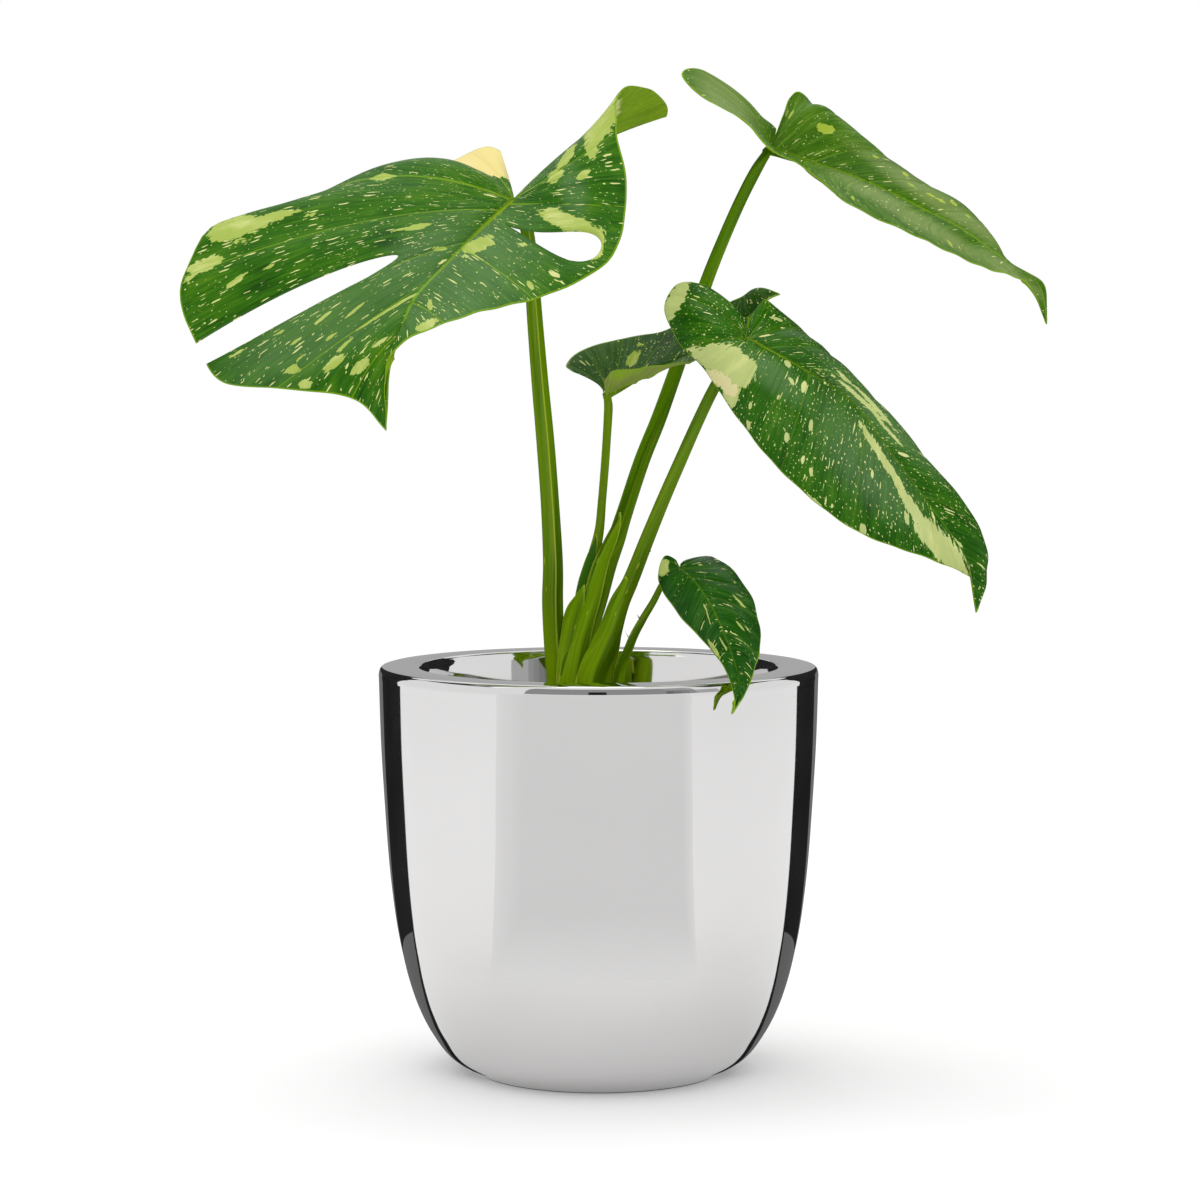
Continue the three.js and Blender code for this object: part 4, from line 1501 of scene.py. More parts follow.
@dataclass
class CrumbScatter:
    """Geometry nodes that strew crumbs of one kind over a face."""

    kind: Crumb
    density: float
    smallest: float
    largest: float
    seed: int
    finish: EarthFinish

    def seed_shape(self, nodes: NodeTree) -> Socket:
        """Adds the one crumb that is repeated, about 1 m across before its scaling.

        Args:
            nodes: The tree that it is added to.

        Returns:
            The crumb's mesh.
        """
        if self.kind is Crumb.BARK:
            sizes = {"Size": (1.0, 0.7, 0.34), "Vertices X": 3, "Vertices Y": 3}
            return nodes.node("GeometryNodeMeshCube", sizes).outputs["Mesh"]
        if self.kind is Crumb.PERLITE:
            return nodes.node("GeometryNodeMeshIcoSphere", {"Radius": 0.5, "Subdivisions": 2}).outputs["Mesh"]
        sizes = {"Vertices": 5, "Radius": 0.03, "Depth": 1.0, "Side Segments": 4}
        return nodes.node("GeometryNodeMeshCylinder", sizes).outputs["Mesh"]

    def tree(self) -> bpy.types.GeometryNodeTree:
        """Builds the tree, with its sizes, seed and finish as named inputs.

        Returns:
            The tree.
        """
        tree = bpy.data.node_groups.new(f"strew_{self.kind.value}", "GeometryNodeTree")
        kinds = {"Geometry": "Geometry", "Density": "Float", "Smallest": "Float", "Largest": "Float",
                 "Seed": "Int", "Finish": "Material"}
        for name, kind in kinds.items():
            tree.interface.new_socket(name, in_out="INPUT", socket_type=f"NodeSocket{kind}")
        tree.interface.new_socket("Geometry", in_out="OUTPUT", socket_type="NodeSocketGeometry")
        nodes = NodeTree(tree)
        given = nodes.node("NodeGroupInput").outputs
        spots = nodes.node("GeometryNodeDistributePointsOnFaces", {
            "Mesh": given["Geometry"], "Density": given["Density"], "Seed": given["Seed"],
        }).outputs["Points"]
        jagged = nodes.node("ShaderNodeTexNoise", {"Scale": 2.1}).outputs[1]
        dents = nodes.node("ShaderNodeVectorMath", {
            0: jagged, 1: (0.7, 0.7, 0.5), 2: (-0.35, -0.35, -0.25),
        }, operation="MULTIPLY_ADD").outputs[0]
        offset = {} if self.kind is Crumb.FIBRE else {"Offset": dents}
        crumb = nodes.node("GeometryNodeSetPosition", {"Geometry": self.seed_shape(nodes), **offset})
        lean = math.pi if self.kind is Crumb.PERLITE else 0.5
        base = math.pi / 2 if self.kind is Crumb.FIBRE else 0.0
        spin = nodes.node("FunctionNodeRandomValue", {
            0: (base - lean, -lean, 0), 1: (base + lean, lean, 2 * math.pi), "Seed": given["Seed"],
        }, data_type="FLOAT_VECTOR").outputs[0]
        grow = nodes.node("FunctionNodeRandomValue", {
            2: given["Smallest"], 3: given["Largest"], "Seed": given["Seed"],
        }).outputs[1]
        strewn = nodes.node("GeometryNodeInstanceOnPoints", {
            "Points": spots, "Instance": crumb.outputs[0], "Rotation": spin, "Scale": grow,
        }).outputs[0]
        real = nodes.node("GeometryNodeRealizeInstances", {0: strewn}).outputs[0]
        painted = nodes.node("GeometryNodeSetMaterial", {"Geometry": real, "Material": given["Finish"]})
        nodes.node("NodeGroupOutput", {0: painted.outputs[0]})
        return tree

    def build(self, bed: Piece) -> Piece:
        """Strews the crumbs over a face and turns them into a plain mesh.

        Args:
            bed: The face that they lie on.

        Returns:
            The crumbs' object.
        """
        host = bpy.data.objects.new(f"host_{self.kind.value}", bed.data.copy())
        bpy.context.scene.collection.objects.link(host)
        modifier = host.modifiers.new("strew", "NODES")
        modifier.node_group = self.tree()
        sockets = {item.name: item.identifier for item in modifier.node_group.interface.items_tree
                   if item.in_out == "INPUT"}
        values = {"Density": self.density, "Smallest": self.smallest, "Largest": self.largest,
                  "Seed": self.seed, "Finish": self.finish.material()}
        for name, value in values.items():
            modifier[sockets[name]] = value
        depsgraph = bpy.context.evaluated_depsgraph_get()
        mesh = bpy.data.meshes.new_from_object(host.evaluated_get(depsgraph))
        mesh.name = f"mix_{self.kind.value}"
        bpy.data.objects.remove(host)
        piece = bpy.data.objects.new(mesh.name, mesh)
        bpy.context.scene.collection.objects.link(piece)
        return piece


@dataclass
class PottingMix:
    """The potting mix in the liner, with its crumbs, and the stem that stands in it."""

    radius: float = 75.8
    surface: float = 166.4
    bottom: float = 3.3
    bottom_radius: float = 52.8
    mound: float = 1.6
    rough: float = 0.45
    sides: int = 160
    rings: int = 60
    face_inset: float = 3
    crown_x: float = -5
    crown_across: float = 24
    crown_deep: float = 18
    crown_gap: float = 1
    crown_foot: float = 118
    crown_top: float = 184
    dome: float = 12
    scar_depth: float = 0.03
    scar_pitch: float = 3.2

    def heights(self, radius: np.ndarray, turn: np.ndarray) -> np.ndarray:
        """Works out the uneven surface of the mix.

        Args:
            radius: Distances from the axis, in millimetres.
            turn: Angles about it.

        Returns:
            Heights in millimetres.
        """
        x, y = radius * np.cos(turn), radius * np.sin(turn)
        lumps = np.sin(x / 7.1 + 1.7) * np.cos(y / 6.3)
        grain = 0.6 * np.sin(x / 3.3 - y / 4.1) + 0.5 * np.cos(y / 2.7 + x / 9)
        return self.surface + self.rough * (lumps + grain) + self.mound * np.exp(-((radius / 40) ** 2))

    def build_bed(self) -> Piece:
        """Builds the body of the mix.

        Returns:
            The body's object.
        """
        turn = np.linspace(0, 2 * np.pi, self.sides, endpoint=False)
        under = np.array([
            [0, self.bottom], [self.bottom_radius, self.bottom], [self.radius - 0.4, self.surface - 3],
        ])
        radii = np.linspace(self.radius - 0.6, 0, self.rings)
        top = self.heights(radii[:, None], turn[None])
        top[0] = self.surface - 1.4
        top[-1] = top[-1].mean()
        radius = np.concatenate([under[:, 0], radii])[:, None]
        height = np.concatenate([np.repeat(under[:, 1:], self.sides, 1), top])
        ring = np.stack([radius * np.cos(turn), radius * np.sin(turn), height], -1) * MM
        return make_round("mix_bed", ring, EarthFinish("mix").material())

    def build_face(self) -> Piece:
        """Builds the face that the crumbs are strewn on: the surface round the stem.

        Returns:
            The face's object.
        """
        turn = np.linspace(0, 2 * np.pi, 96, endpoint=False)
        share = np.linspace(0, 1, 14)[:, None, None]
        across, deep = self.crown_across + self.crown_gap, self.crown_deep + self.crown_gap
        inner = np.stack([self.crown_x + np.cos(turn) * across, np.sin(turn) * deep], -1)
        outer = np.stack([np.cos(turn), np.sin(turn)], -1) * (self.radius - self.face_inset)
        flat = inner[None] * (1 - share) + outer[None] * share
        radius, angle = np.hypot(flat[..., 0], flat[..., 1]), np.arctan2(flat[..., 1], flat[..., 0])
        ring = np.concatenate([flat, self.heights(radius, angle)[..., None]], -1) * MM
        faces, _ = Skin.grid_triangles(wrapped(numbered(ring)), False)
        return make_object("mix_face", ring.reshape(-1, 3), faces, EarthFinish("mix_face").material())

    def build_crown(self) -> Piece:
        """Builds the short stem, ringed with the scars of old leaves.

        Returns:
            The stem's object.
        """
        rows = np.linspace(0, 1, 90)
        turn = np.linspace(0, 2 * np.pi, 72, endpoint=False)
        height = self.crown_foot + (self.crown_top - self.crown_foot) * rows
        dome = np.clip(1 - (self.crown_top - height) / self.dome, 0, 1)
        scars = self.scar_depth * np.abs(np.sin(height / self.scar_pitch)) ** 6 * (1 - dome)
        size = np.where(rows < 0.4, 0.6 + rows, 1) * np.sqrt(1 - dome**2) * (1 - scars)
        size = size[:, None] * (1 + 0.02 * np.sin(3 * turn + height[:, None] / 8))
        ring = np.stack([
            self.crown_x + self.crown_across * size * np.cos(turn),
            self.crown_deep * size * np.sin(turn),
            np.repeat(height[:, None], len(turn), 1),
        ], -1) * MM
        foot = ring[:1] * [0, 0, 1] + [self.crown_x * MM, 0, 0]
        finish = EarthFinish("stem", ink(92, 96, 34), ink(142, 152, 62), 90, 0.6, 0.0006)
        return make_round("stem", np.concatenate([foot, ring]), finish.material())

    def build(self) -> list[Piece]:
        """Builds the mix, its crumbs and the stem, and seats them in the frame.

        Returns:
            The pieces.
        """
        bed, face, crown = self.build_bed(), self.build_face(), self.build_crown()
        bark = EarthFinish("bark", ink(46, 30, 20), ink(122, 84, 54), 260)
        perlite = EarthFinish("perlite", ink(206, 202, 192), ink(242, 240, 234), 700, 0.85, 0.0006)
        fibre = EarthFinish("fibre", ink(60, 40, 24), ink(120, 86, 52))
        scatters = [
            CrumbScatter(Crumb.BARK, 62000, smallest=0.002, largest=0.0062, seed=4, finish=bark),
            CrumbScatter(Crumb.PERLITE, 9000, smallest=0.0014, largest=0.0042, seed=9, finish=perlite),
            CrumbScatter(Crumb.FIBRE, 16000, smallest=0.005, largest=0.014, seed=2, finish=fibre),
        ]
        crumbs = [scatter.build(face) for scatter in scatters]
        bpy.data.objects.remove(face)
        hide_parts("soil")
        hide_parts("crown")
        return [bed, crown, *crumbs]


@dataclass
class Foliage:
    """The five leaves, each with its blade and stalk, and the sheaths at the foot of the plant."""

    blades: dict[str, Blade]
    stalks: list[Stalk]
    sheaths: list[Sheath]
    spurs: list[Spur]

    def build(self) -> list[Piece]:
        """Builds the foliage and seats it in the frame.

        Returns:
            The pieces.
        """
        pieces = []
        for letter, blade in self.blades.items():
            piece = blade.build()
            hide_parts(f"leaf_{letter}")
            pieces.append(piece)
        for stalk in self.stalks:
            piece = stalk.build()
            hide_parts(stalk.name)
            pieces.append(piece)
        for extra in (*self.sheaths, *self.spurs):
            piece = extra.build()
            pieces.append(piece)
        return pieces


@dataclass(frozen=True)
class StandingCard:
    """A curved card that stands round the planter, in degrees from straight behind it and in metres."""

    name: str
    start: float
    end: float
    low: float
    high: float
    glow: float
    nearer: float = 0.0
    flare: float = 0.0

    def rows(self, reach: float, way: int) -> np.ndarray:
        """Gives the card's lower and upper edge.

        Args:
            reach: How far from the planter's axis the cards stand, in metres.
            way: 1 for the card itself and -1 for its mirror image.

        Returns:
            Points in metres, (2, n, 3).
        """
        rows = []
        for height, wider in ((self.low, 0.0), (self.high, self.flare)):
            turn = np.radians(np.linspace(self.start, self.end + wider, 25)) * way
            flat = np.stack([np.sin(turn), np.cos(turn)], -1) * (reach - self.nearer)
            rows.append(np.concatenate([flat, np.full((len(flat), 1), height)], -1))
        return np.stack(rows)


@dataclass(frozen=True)
class LyingCard:
    """A card on the floor beside and behind the planter, with its front edge on a straight line."""

    name: str
    inset: float
    reach: float
    lift: float
    glow: float

    def rows(self, corner: tuple[float, float], slant: tuple[float, float], way: int) -> np.ndarray:
        """Gives the card's points, from its front edge round to straight behind the planter.

        Args:
            corner: Where the front edge of the widest card starts, in metres.
            slant: The direction in which the edge runs.
            way: 1 on the right and -1 on the left.

        Returns:
            Points in metres, (rows, n, 3).
        """
        run = np.linspace(0, self.reach, 40)[:, None]
        front = np.array(corner) + run * np.array(slant) + [0, self.inset]
        far = np.linalg.norm(front, axis=-1, keepdims=True)
        share = np.linspace(0, 1, 12)[:, None, None]
        flat = unit(front * (1 - share) + far * [0, 1] * share) * far
        return np.concatenate([flat * [way, 1], np.full((*flat.shape[:2], 1), self.lift)], -1)


@dataclass
class Studio:
    """A pale floor, soft white light all round, cards that the steel mirrors, and the camera."""

    eye: Point = (0.0007, -1.87, 0.378)
    lens: float = 112.5
    pitch: float = 4.3
    floor: Colour = (0.88, 0.88, 0.88)
    floor_glow: float = 0.13
    floor_reach: float = 60.0
    foot_shade: Colour = (0.08, 0.08, 0.08)
    foot_reach: tuple[float, float] = (0.05, 0.0605)
    card_reach: float = 1.5
    card_corner: tuple[float, float] = (0.056, -0.031)
    card_slant: tuple[float, float] = (0.819, 0.574)
    front_steps: int = 12
    front_shade: float = 0.13
    single_cards: tuple[StandingCard, ...] = (
        StandingCard("edge_card", -28, 28, 0, 0.2, 0.17),
        StandingCard("rim_card", -12, 12, 0.2, 0.7, 0.42),
        StandingCard("front_card", 146, 217, 0.27, 1.5, 0.34),
        StandingCard("brow_card", 130, 146, 0.7, 1.5, 0.42),
        StandingCard("eye_card", 176, 185, 0.27, 0.65, 0.008, nearer=0.02),
        StandingCard("stripe_card_0", 117, 130, 0.27, 0.7, 0.5),
        StandingCard("stripe_card_1", 130, 134, 0.27, 0.7, 0.36),
        StandingCard("stripe_card_2", 134, 138, 0.27, 0.7, 0.3),
        StandingCard("stripe_card_3", 138, 142, 0.27, 0.7, 0.24),
        StandingCard("stripe_card_4", 142, 146, 0.27, 0.7, 0.19),
    )
    paired_cards: tuple[StandingCard, ...] = (
        StandingCard("black_card", 28, 55, 0, 0.2, 0.008),
        StandingCard("dark_card", 12, 55, 0.2, 0.5, 0.012, flare=9),
        StandingCard("brow_card", 12, 64, 0.5, 1.1, 0.012),
        StandingCard("flag", 60, 118, 1.1, 2.7, 0.05),
    )
    lying_cards: tuple[LyingCard, ...] = (
        LyingCard("black_floor", inset=0, reach=1.75, lift=0.0006, glow=0.008),
        LyingCard("grey_floor", inset=0.014, reach=0.28, lift=0.0012, glow=0.14),
    )

    def build_camera(self) -> None:
        """Places the camera at the photograph's height, distance and pitch."""
        data = bpy.data.cameras.new("camera")
        data.lens = self.lens
        data.sensor_width = 36
        data.clip_end = 100
        camera = bpy.data.objects.new("camera", data)
        camera.location = self.eye
        camera.rotation_euler = (math.radians(90 - self.pitch), 0, 0)
        bpy.context.scene.collection.objects.link(camera)
        bpy.context.scene.camera = camera

    def build_world(self) -> None:
        """Fills the studio with white light."""
        world = bpy.data.worlds.new("studio")
        bpy.context.scene.world = world
        world.use_nodes = True
        world.node_tree.nodes["Background"].inputs[0].default_value = (1, 1, 1, 1)
        world.node_tree.nodes["Background"].inputs[1].default_value = 1.0
        bpy.context.scene.view_settings.view_transform = "Standard"

    def build_lamp(self, name: str, where: Point, size: float, power: float) -> None:
        """Hangs a square soft lamp that faces the plant.

        Args:
            name: The lamp's name.
            where: Its place, in metres.
            size: The length of its side, in metres.
            power: Its power, in watts.
        """
        data = bpy.data.lights.new(name, "AREA")
        data.size = size
        data.energy = power
        lamp = bpy.data.objects.new(name, data)
        lamp.location = where
        back = unit(np.array(where) - np.array([0, 0, 0.3]))
        lamp.rotation_euler = (math.acos(back[2]), 0, math.atan2(back[1], back[0]) + math.pi / 2)
        bpy.context.scene.collection.objects.link(lamp)

    def build_card(self, name: str, rows: np.ndarray, glow: float) -> None:
        """Sets up a card that only shows in the steel.

        Args:
            name: The card's name.
            rows: Its points, in metres, as two or more rows.
            glow: How bright it is, where 1 is the studio's white.
        """
        faces, _ = Skin.grid_triangles(numbered(rows), False)
        finish = StudioFinish(name, (0.0, 0.0, 0.0), glow=glow)
        card = make_object(name, rows.reshape(-1, 3), faces, finish.material())
        card.visible_camera = False
        card.visible_diffuse = False
        card.visible_shadow = False
        card.visible_transmission = False

    @staticmethod
    def sector(start: float, end: float, reaches: tuple[float, ...], lift: float, count: int) -> np.ndarray:
        """Lays out part of a ring on the floor.

        Args:
            start: Where it starts, in degrees from straight behind the planter.
            end: Where it ends.
            reaches: How far from the planter's axis each row of points lies, in metres.
            lift: Its height, in metres.
            count: How many points a row has.

        Returns:
            Points in metres, (rows, count, 3).
        """
        turn = np.radians(np.linspace(start, end, count))
        reach = np.array(reaches)[:, None]
        return np.stack([np.sin(turn) * reach, np.cos(turn) * reach, lift + 0 * turn * reach], -1)

    def build_front_cards(self) -> None:
        """Lays the softly edged grey strip in front of the planter, which greys the middle of its wall."""
        for index in range(self.front_steps):
            share = index / (self.front_steps - 1)
            reaches = (0.19 + 0.14 * share, 0.7, 9.0)
            rows = self.sector(232 - 14 * share, 133 + 5 * share, reaches, 0.001 + 0.0002 * index, 41)
            self.build_card(f"front_card_{index}", rows, 1 - self.front_shade * (share * 0.8 + 0.2))

    def build_foot_line(self) -> None:
        """Draws the thin dark line of shadow where the planter meets the floor."""
        rows = self.sector(0, 360, self.foot_reach, 0.0002, 97)
        faces, _ = Skin.grid_triangles(numbered(rows), True)
        finish = StudioFinish("foot_line", self.foot_shade)
        make_object("foot_line", rows.reshape(-1, 3), faces, finish.material())

    def build_floor(self) -> None:
        """Lays the floor."""
        corners = np.array([[-1, -1, 0], [1, -1, 0], [1, 1, 0], [-1, 1, 0]], float) * self.floor_reach
        faces = np.array([[0, 1, 2], [0, 2, 3]])
        finish = StudioFinish("floor", self.floor, glow=self.floor_glow)
        make_object("floor", corners, faces, finish.material())

    def build(self) -> None:
        """Builds the studio."""
        self.build_camera()
        self.build_world()
        self.build_floor()
        self.build_lamp("overhead", (-0.15, 0.3, 1.9), size=0.8, power=6)
        self.build_lamp("side", (-1.4, -0.5, 1.5), size=0.8, power=1)
        for card in self.single_cards:
            self.build_card(card.name, card.rows(self.card_reach, 1), card.glow)
        self.build_card("edge_floor", self.sector(-28, 28, (0.12, 0.6, 1.6), 0.0016, 25), 0.17)
        self.build_foot_line()
        for side, way in (("left", -1), ("right", 1)):
            for card in self.paired_cards:
                self.build_card(f"{card.name}_{side}", card.rows(self.card_reach, way), card.glow)
            for card in self.lying_cards:
                rows = card.rows(self.card_corner, self.card_slant, way)
                self.build_card(f"{card.name}_{side}", rows, card.glow)
        self.build_front_cards()


def leaves() -> dict[str, Blade]:
    """Gives the five blades, each as read on the plane through the planter's axis.

    Returns:
        The blades by letter.
    """
    right, left = Side.RIGHT, Side.LEFT
    blade_a = Blade(
        "leaf_a",
        LeafFinish("leaf_a", deep=ink(20, 68, 0), middle=ink(46, 102, 0), pale=ink(84, 130, 18),
                   cream=ink(164, 184, 84), dots=0.34, dashes=0.5, blotches=0.06),
        midrib=[
            (-42, 437, 18), (-60, 421, 40), (-75, 406, 60), (-91, 389, 80), (-98, 373, 95),
            (-104, 353, 107), (-106, 322, 114),
        ],
        right=[
            (0, -44.5, 447, 0, -49, 462, -30), (0, -50, 451, -4, -60, 461.5, -38),
            (0, -60, 450.5, -5, -77, 453, -45), (0, -80, 456, -4, -108, 438, -45),
            (0, -104, 452, 8, -150, 422, -25), (0.02, -112, 440, 28, -188, 425, 22),
            (0.04, -117, 430, 38, -202, 408, 38), (0.08, -122, 419, 50, -208, 387, 54),
            (0.2, -120, 400, 66, -198, 361, 66), (0.28, -122, 388, 75, -187, 346, 76),
            (0.44, -122, 371, 86, -160, 343, 88), (0.7, -111, 358, 102, -123, 338, 106),
        ],
        left=[
            (0, -8, 461, -42, 39, 479, -45), (0, -10, 465, -22, 25, 491, -30),
            (0, -10, 463, -2, 10.5, 490, -8), (0, -13, 455, 14, 9, 470, 14), (0, -13, 442, 26, 14, 443, 34),
            (0.1, -25, 415, 45, 7, 409, 58), (0.2, -41, 403, 59, -24, 390, 72),
            (0.48, -79, 385, 80, -69, 378, 92), (0.75, -101, 365, 103, -103, 360, 108),
        ],
        laterals={right: [1.3, 2.7, 4.4, 6.5, 8.35, 10.0, 11.0], left: [1.2, 3.0, 4.3, 6.2, 7.2, 8.2]},
        cuts=[Cut(right, 8, 0.34, 1, 0.42, 0.7), Cut(left, 5, 0.12, 0.9, 0.3, 0.28)],
        splashes={
            right: [
                (-181, 422, 12.5, 6, 8), (-164, 427, 15, 2.2, 12), (-196, 404, 10.5, 2.7, 22),
                (-203, 395, 4.5, 1.5, 25), (-180, 396, 6.5, 1.2, 33), (-163, 403, 4, 0.7, 28),
                (-107, 447, 7, 2, 2), (-91, 422, 9.5, 1.2, 11), (-79, 412, 3.5, 1, 5),
                (-142, 427, 3, 0.8, 5), (-150, 420, 2.5, 0.6, 5), (-150, 366, 3, 0.7, 32),
                (-99, 366, 13, 1.5, 70), (-105, 381, 16.5, 0.8, 31), (-131, 355, 6, 2, 36),
                (-118, 354, 5.5, 2, 42), (-152, 352, 3, 1.7, 15), (-146, 345, 3, 2, 20),
                (-121, 381, 6.5, 0.7, 38), (-159, 370, 3.5, 0.7, 24), (-133, 368, 4, 0.8, 35),
                (-126, 364, 5, 0.8, 42), (-109, 365, 5, 0.7, 35), (-137, 377, 5.5, 0.7, 38),
                (-151, 355, 7, 0.6, 42), (-180, 360, 4.5, 0.7, 28),
            ],
            left: [
                (-66, 408, 2, 0.7, 10), (-60, 414, 8.5, 3, 20), (-18, 426, 11, 4, -22),
                (-7, 422, 6.5, 3.5, -30), (-1, 415, 4, 8, -10), (2, 474, 13.5, 5, 62), (-3, 460, 2.5, 4, 0),
                (-15, 457, 7, 1.5, 52), (-21, 448, 4.5, 2.2, 38), (-7, 448, 4, 1.7, 40),
                (-38, 413, 2.5, 1, 5), (-34, 394, 2.5, 1.2, -55), (-24, 393, 1.2, 2, 0),
                (-85, 374, 5, 2, 25), (-84, 384, 1.2, 2.5, 10),
            ],
        },
        # Painted sheen: the hazy grey-green where the blade mirrors the overhead light.
        sheen_patches={
            right: [(-92, 404, 46, 15, 40), (-140, 372, 60, 22, 28)],
            left: [(-70, 400, 50, 30, 30), (-12, 440, 8, 14, 10)],
        },
        washed=(2.6, 0.36),
        rows=44,
        corner=0.05,
    )
    blade_b = Blade(
        "leaf_b",
        LeafFinish("leaf_b", deep=ink(38, 84, 0), middle=ink(68, 112, 4), pale=ink(104, 142, 46),
                   # Painted sheen: its strength and grey-green colour, given below.
                   dots=0.26, dashes=0.2, blotches=0.01, lines=0.5, sheen_strength=0.3, sheen_colour=ink(124, 147, 76)),
        midrib=[
            (85, 462, -48), (109, 454, -46), (134, 445, -42), (161, 432, -38), (182, 421, -34),
            (203, 406, -32), (219, 394, -30), (223, 375, -30),
        ],
        right=[
            (0, 87, 467, -55, 88, 472, -62), (0, 83, 472, -56, 78, 479, -62),
            (0, 75, 482, -56, 52, 500, -60), (0, 68, 482, -48, 41, 498, -50),
            (0, 70, 478, -40, 53, 486, -35), (0, 79, 469, -33, 70, 477, -22),
            (0, 87, 461, -27, 87, 460, -9), (0.03, 94, 457, -24, 103, 452, 0),
            (0.2, 113, 446, -18, 125, 434, 4), (0.38, 142, 432, -16, 159, 418, 2),
            (0.58, 175, 415, -18, 189, 404, -4), (0.8, 208, 399, -25, 213, 395, -22),
        ],
        left=[
            (0, 88, 469, -52, 91, 478, -58), (0, 90, 474, -56, 95, 487, -66),
            (0, 95, 477, -60, 101, 488.5, -74), (0, 108, 482, -66, 116, 470, -88),
            (0.05, 124, 470, -68, 136, 452, -94), (0.2, 150, 450.5, -66, 163, 436, -88),
            (0.4, 178, 434.5, -56, 186, 424, -72), (0.56, 192, 421, -46, 199, 410, -52),
            (0.7, 203, 406, -38, 205, 404.5, -40), (0.86, 219, 394, -32, 221, 395, -34),
        ],
        laterals={
            right: [2.2, 4.4, 6.4, 7.5, 8.4, 9.3, 10.2, 11.1], left: [1.4, 3.3, 4.5, 5.4, 6.4, 7.5, 8.5],
        },
        splashes={
            right: [(174, 414, 3.5, 0.5, -52), (126, 437, 1.5, 0.7, -60)],
            left: [
                (112, 471, 4.5, 2.2, -15), (95, 478, 2.5, 0.6, 60), (137, 457, 2, 0.6, -35),
                (152, 448, 2, 0.7, -35), (155, 443, 2.5, 0.6, -40), (164, 438, 2, 0.6, -25),
                (170, 435, 2, 0.6, -30), (176, 434, 2, 0.6, -35), (183, 428, 1.5, 0.6, -40),
            ],
        },
        # Painted sheen: the silvery bands along the midrib and the pale left lobe.
        sheen_patches={
            right: [(155, 427.5, 60, 4.6, -30), (205, 399, 26, 4.4, -34), (62, 486, 26, 11, -48)],
            left: [(170, 434, 60, 5, -33)],
        },
        quilt=0.03,
        vein_width=0.4,
    )
    blade_c = Blade(
        "leaf_c",
        LeafFinish("leaf_c", cream=ink(184, 197, 122), bright=ink(222, 214, 158), dots=0.85, dashes=0.34,
                   blotches=0.16, lines=0.2),
        midrib=[
            (74, 368, 34), (100, 354, 50), (126, 337, 62), (145, 312, 72), (165, 285, 80), (183, 259, 86),
            (189, 231, 90),
        ],
        right=[
            (0, 69, 382, 24, 50, 396, 10), (0, 60, 384, 24, 38, 394, 8), (0, 56, 378, 30, 33, 382, 12),
            (0, 59, 369, 38, 40, 366, 22), (0, 66, 360, 46, 54, 351, 34), (0.06, 75, 350, 54, 66, 333, 46),
            (0.2, 99, 328, 66, 91, 302, 60), (0.4, 130, 300, 74, 127, 273, 68),
            (0.66, 167, 271, 80, 168, 257, 76), (0.86, 187, 249, 86, 188, 247, 84),
        ],
        left=[
            (0, 76, 378, 23, 81, 386, 11), (0, 82, 378, 21, 85, 386, 7), (0, 90, 372, 24, 100, 373, -4),
            (0.06, 107, 363, 34, 118, 356, 4), (0.2, 130, 343, 48, 145, 326, 22),
            (0.4, 155, 316, 62, 171, 295, 40), (0.64, 183, 280, 74, 192, 268, 62),
            (0.86, 191, 250, 84, 193, 246, 82),
        ],
        laterals={right: [1.4, 3.2, 5.0, 6.0, 7.0, 8.0, 8.9], left: [1.0, 2.0, 3.0, 4.0, 5.0, 6.0]},
        splashes={
            right: [
                (38, 386, 9.5, 4, 62), (42, 393, 3, 3, 30), (61, 358, 14, 6, -10), (71, 352, 7.5, 7, -40),
                (67, 341, 3.5, 7, -12), (52, 360, 6.5, 2.2, -3), (94, 355, 2.2, 1.5, -55),
                (96, 346, 2.5, 1, -60), (76, 335, 1, 2.2, 0), (90, 337, 0.7, 2.5, 0),
                (94, 319, 1.5, 2.5, 0), (106, 324, 0.9, 4, 0), (75, 325, 1, 2.5, 0),
                (108, 286, 6, 1.7, -40), (132, 273, 1.5, 3, 0), (154, 279, 0.7, 4.5, -15),
                (106, 302, 1, 2, 0), (143, 306, 22.9, 1.6, -57), (157, 283, 15, 2.2, -57),
                (171, 265, 18, 5.5, -48), (91, 360, 4.5, 0.6, -25),
            ],
            left: [
                (129, 338, 16, 0.7, -42), (136, 334, 15, 0.6, -46), (144, 322, 13, 0.6, -50),
                (123, 347, 7, 0.6, -40), (178, 267, 4.5, 0.8, -40), (88, 377, 3, 0.7, -20),
            ],
        },
        # Painted sheen: the grey streaks where the blade mirrors the light.
        sheen_patches={
            right: [(88, 348, 26, 8, -38), (132, 308, 44, 16, -50)],
            left: [(140, 330, 52, 8, -46)],
        },
        glows={
            right: [(60, 348, 5.5, 3.5, -24), (66, 343, 4, 3, -50)],
        },
    )
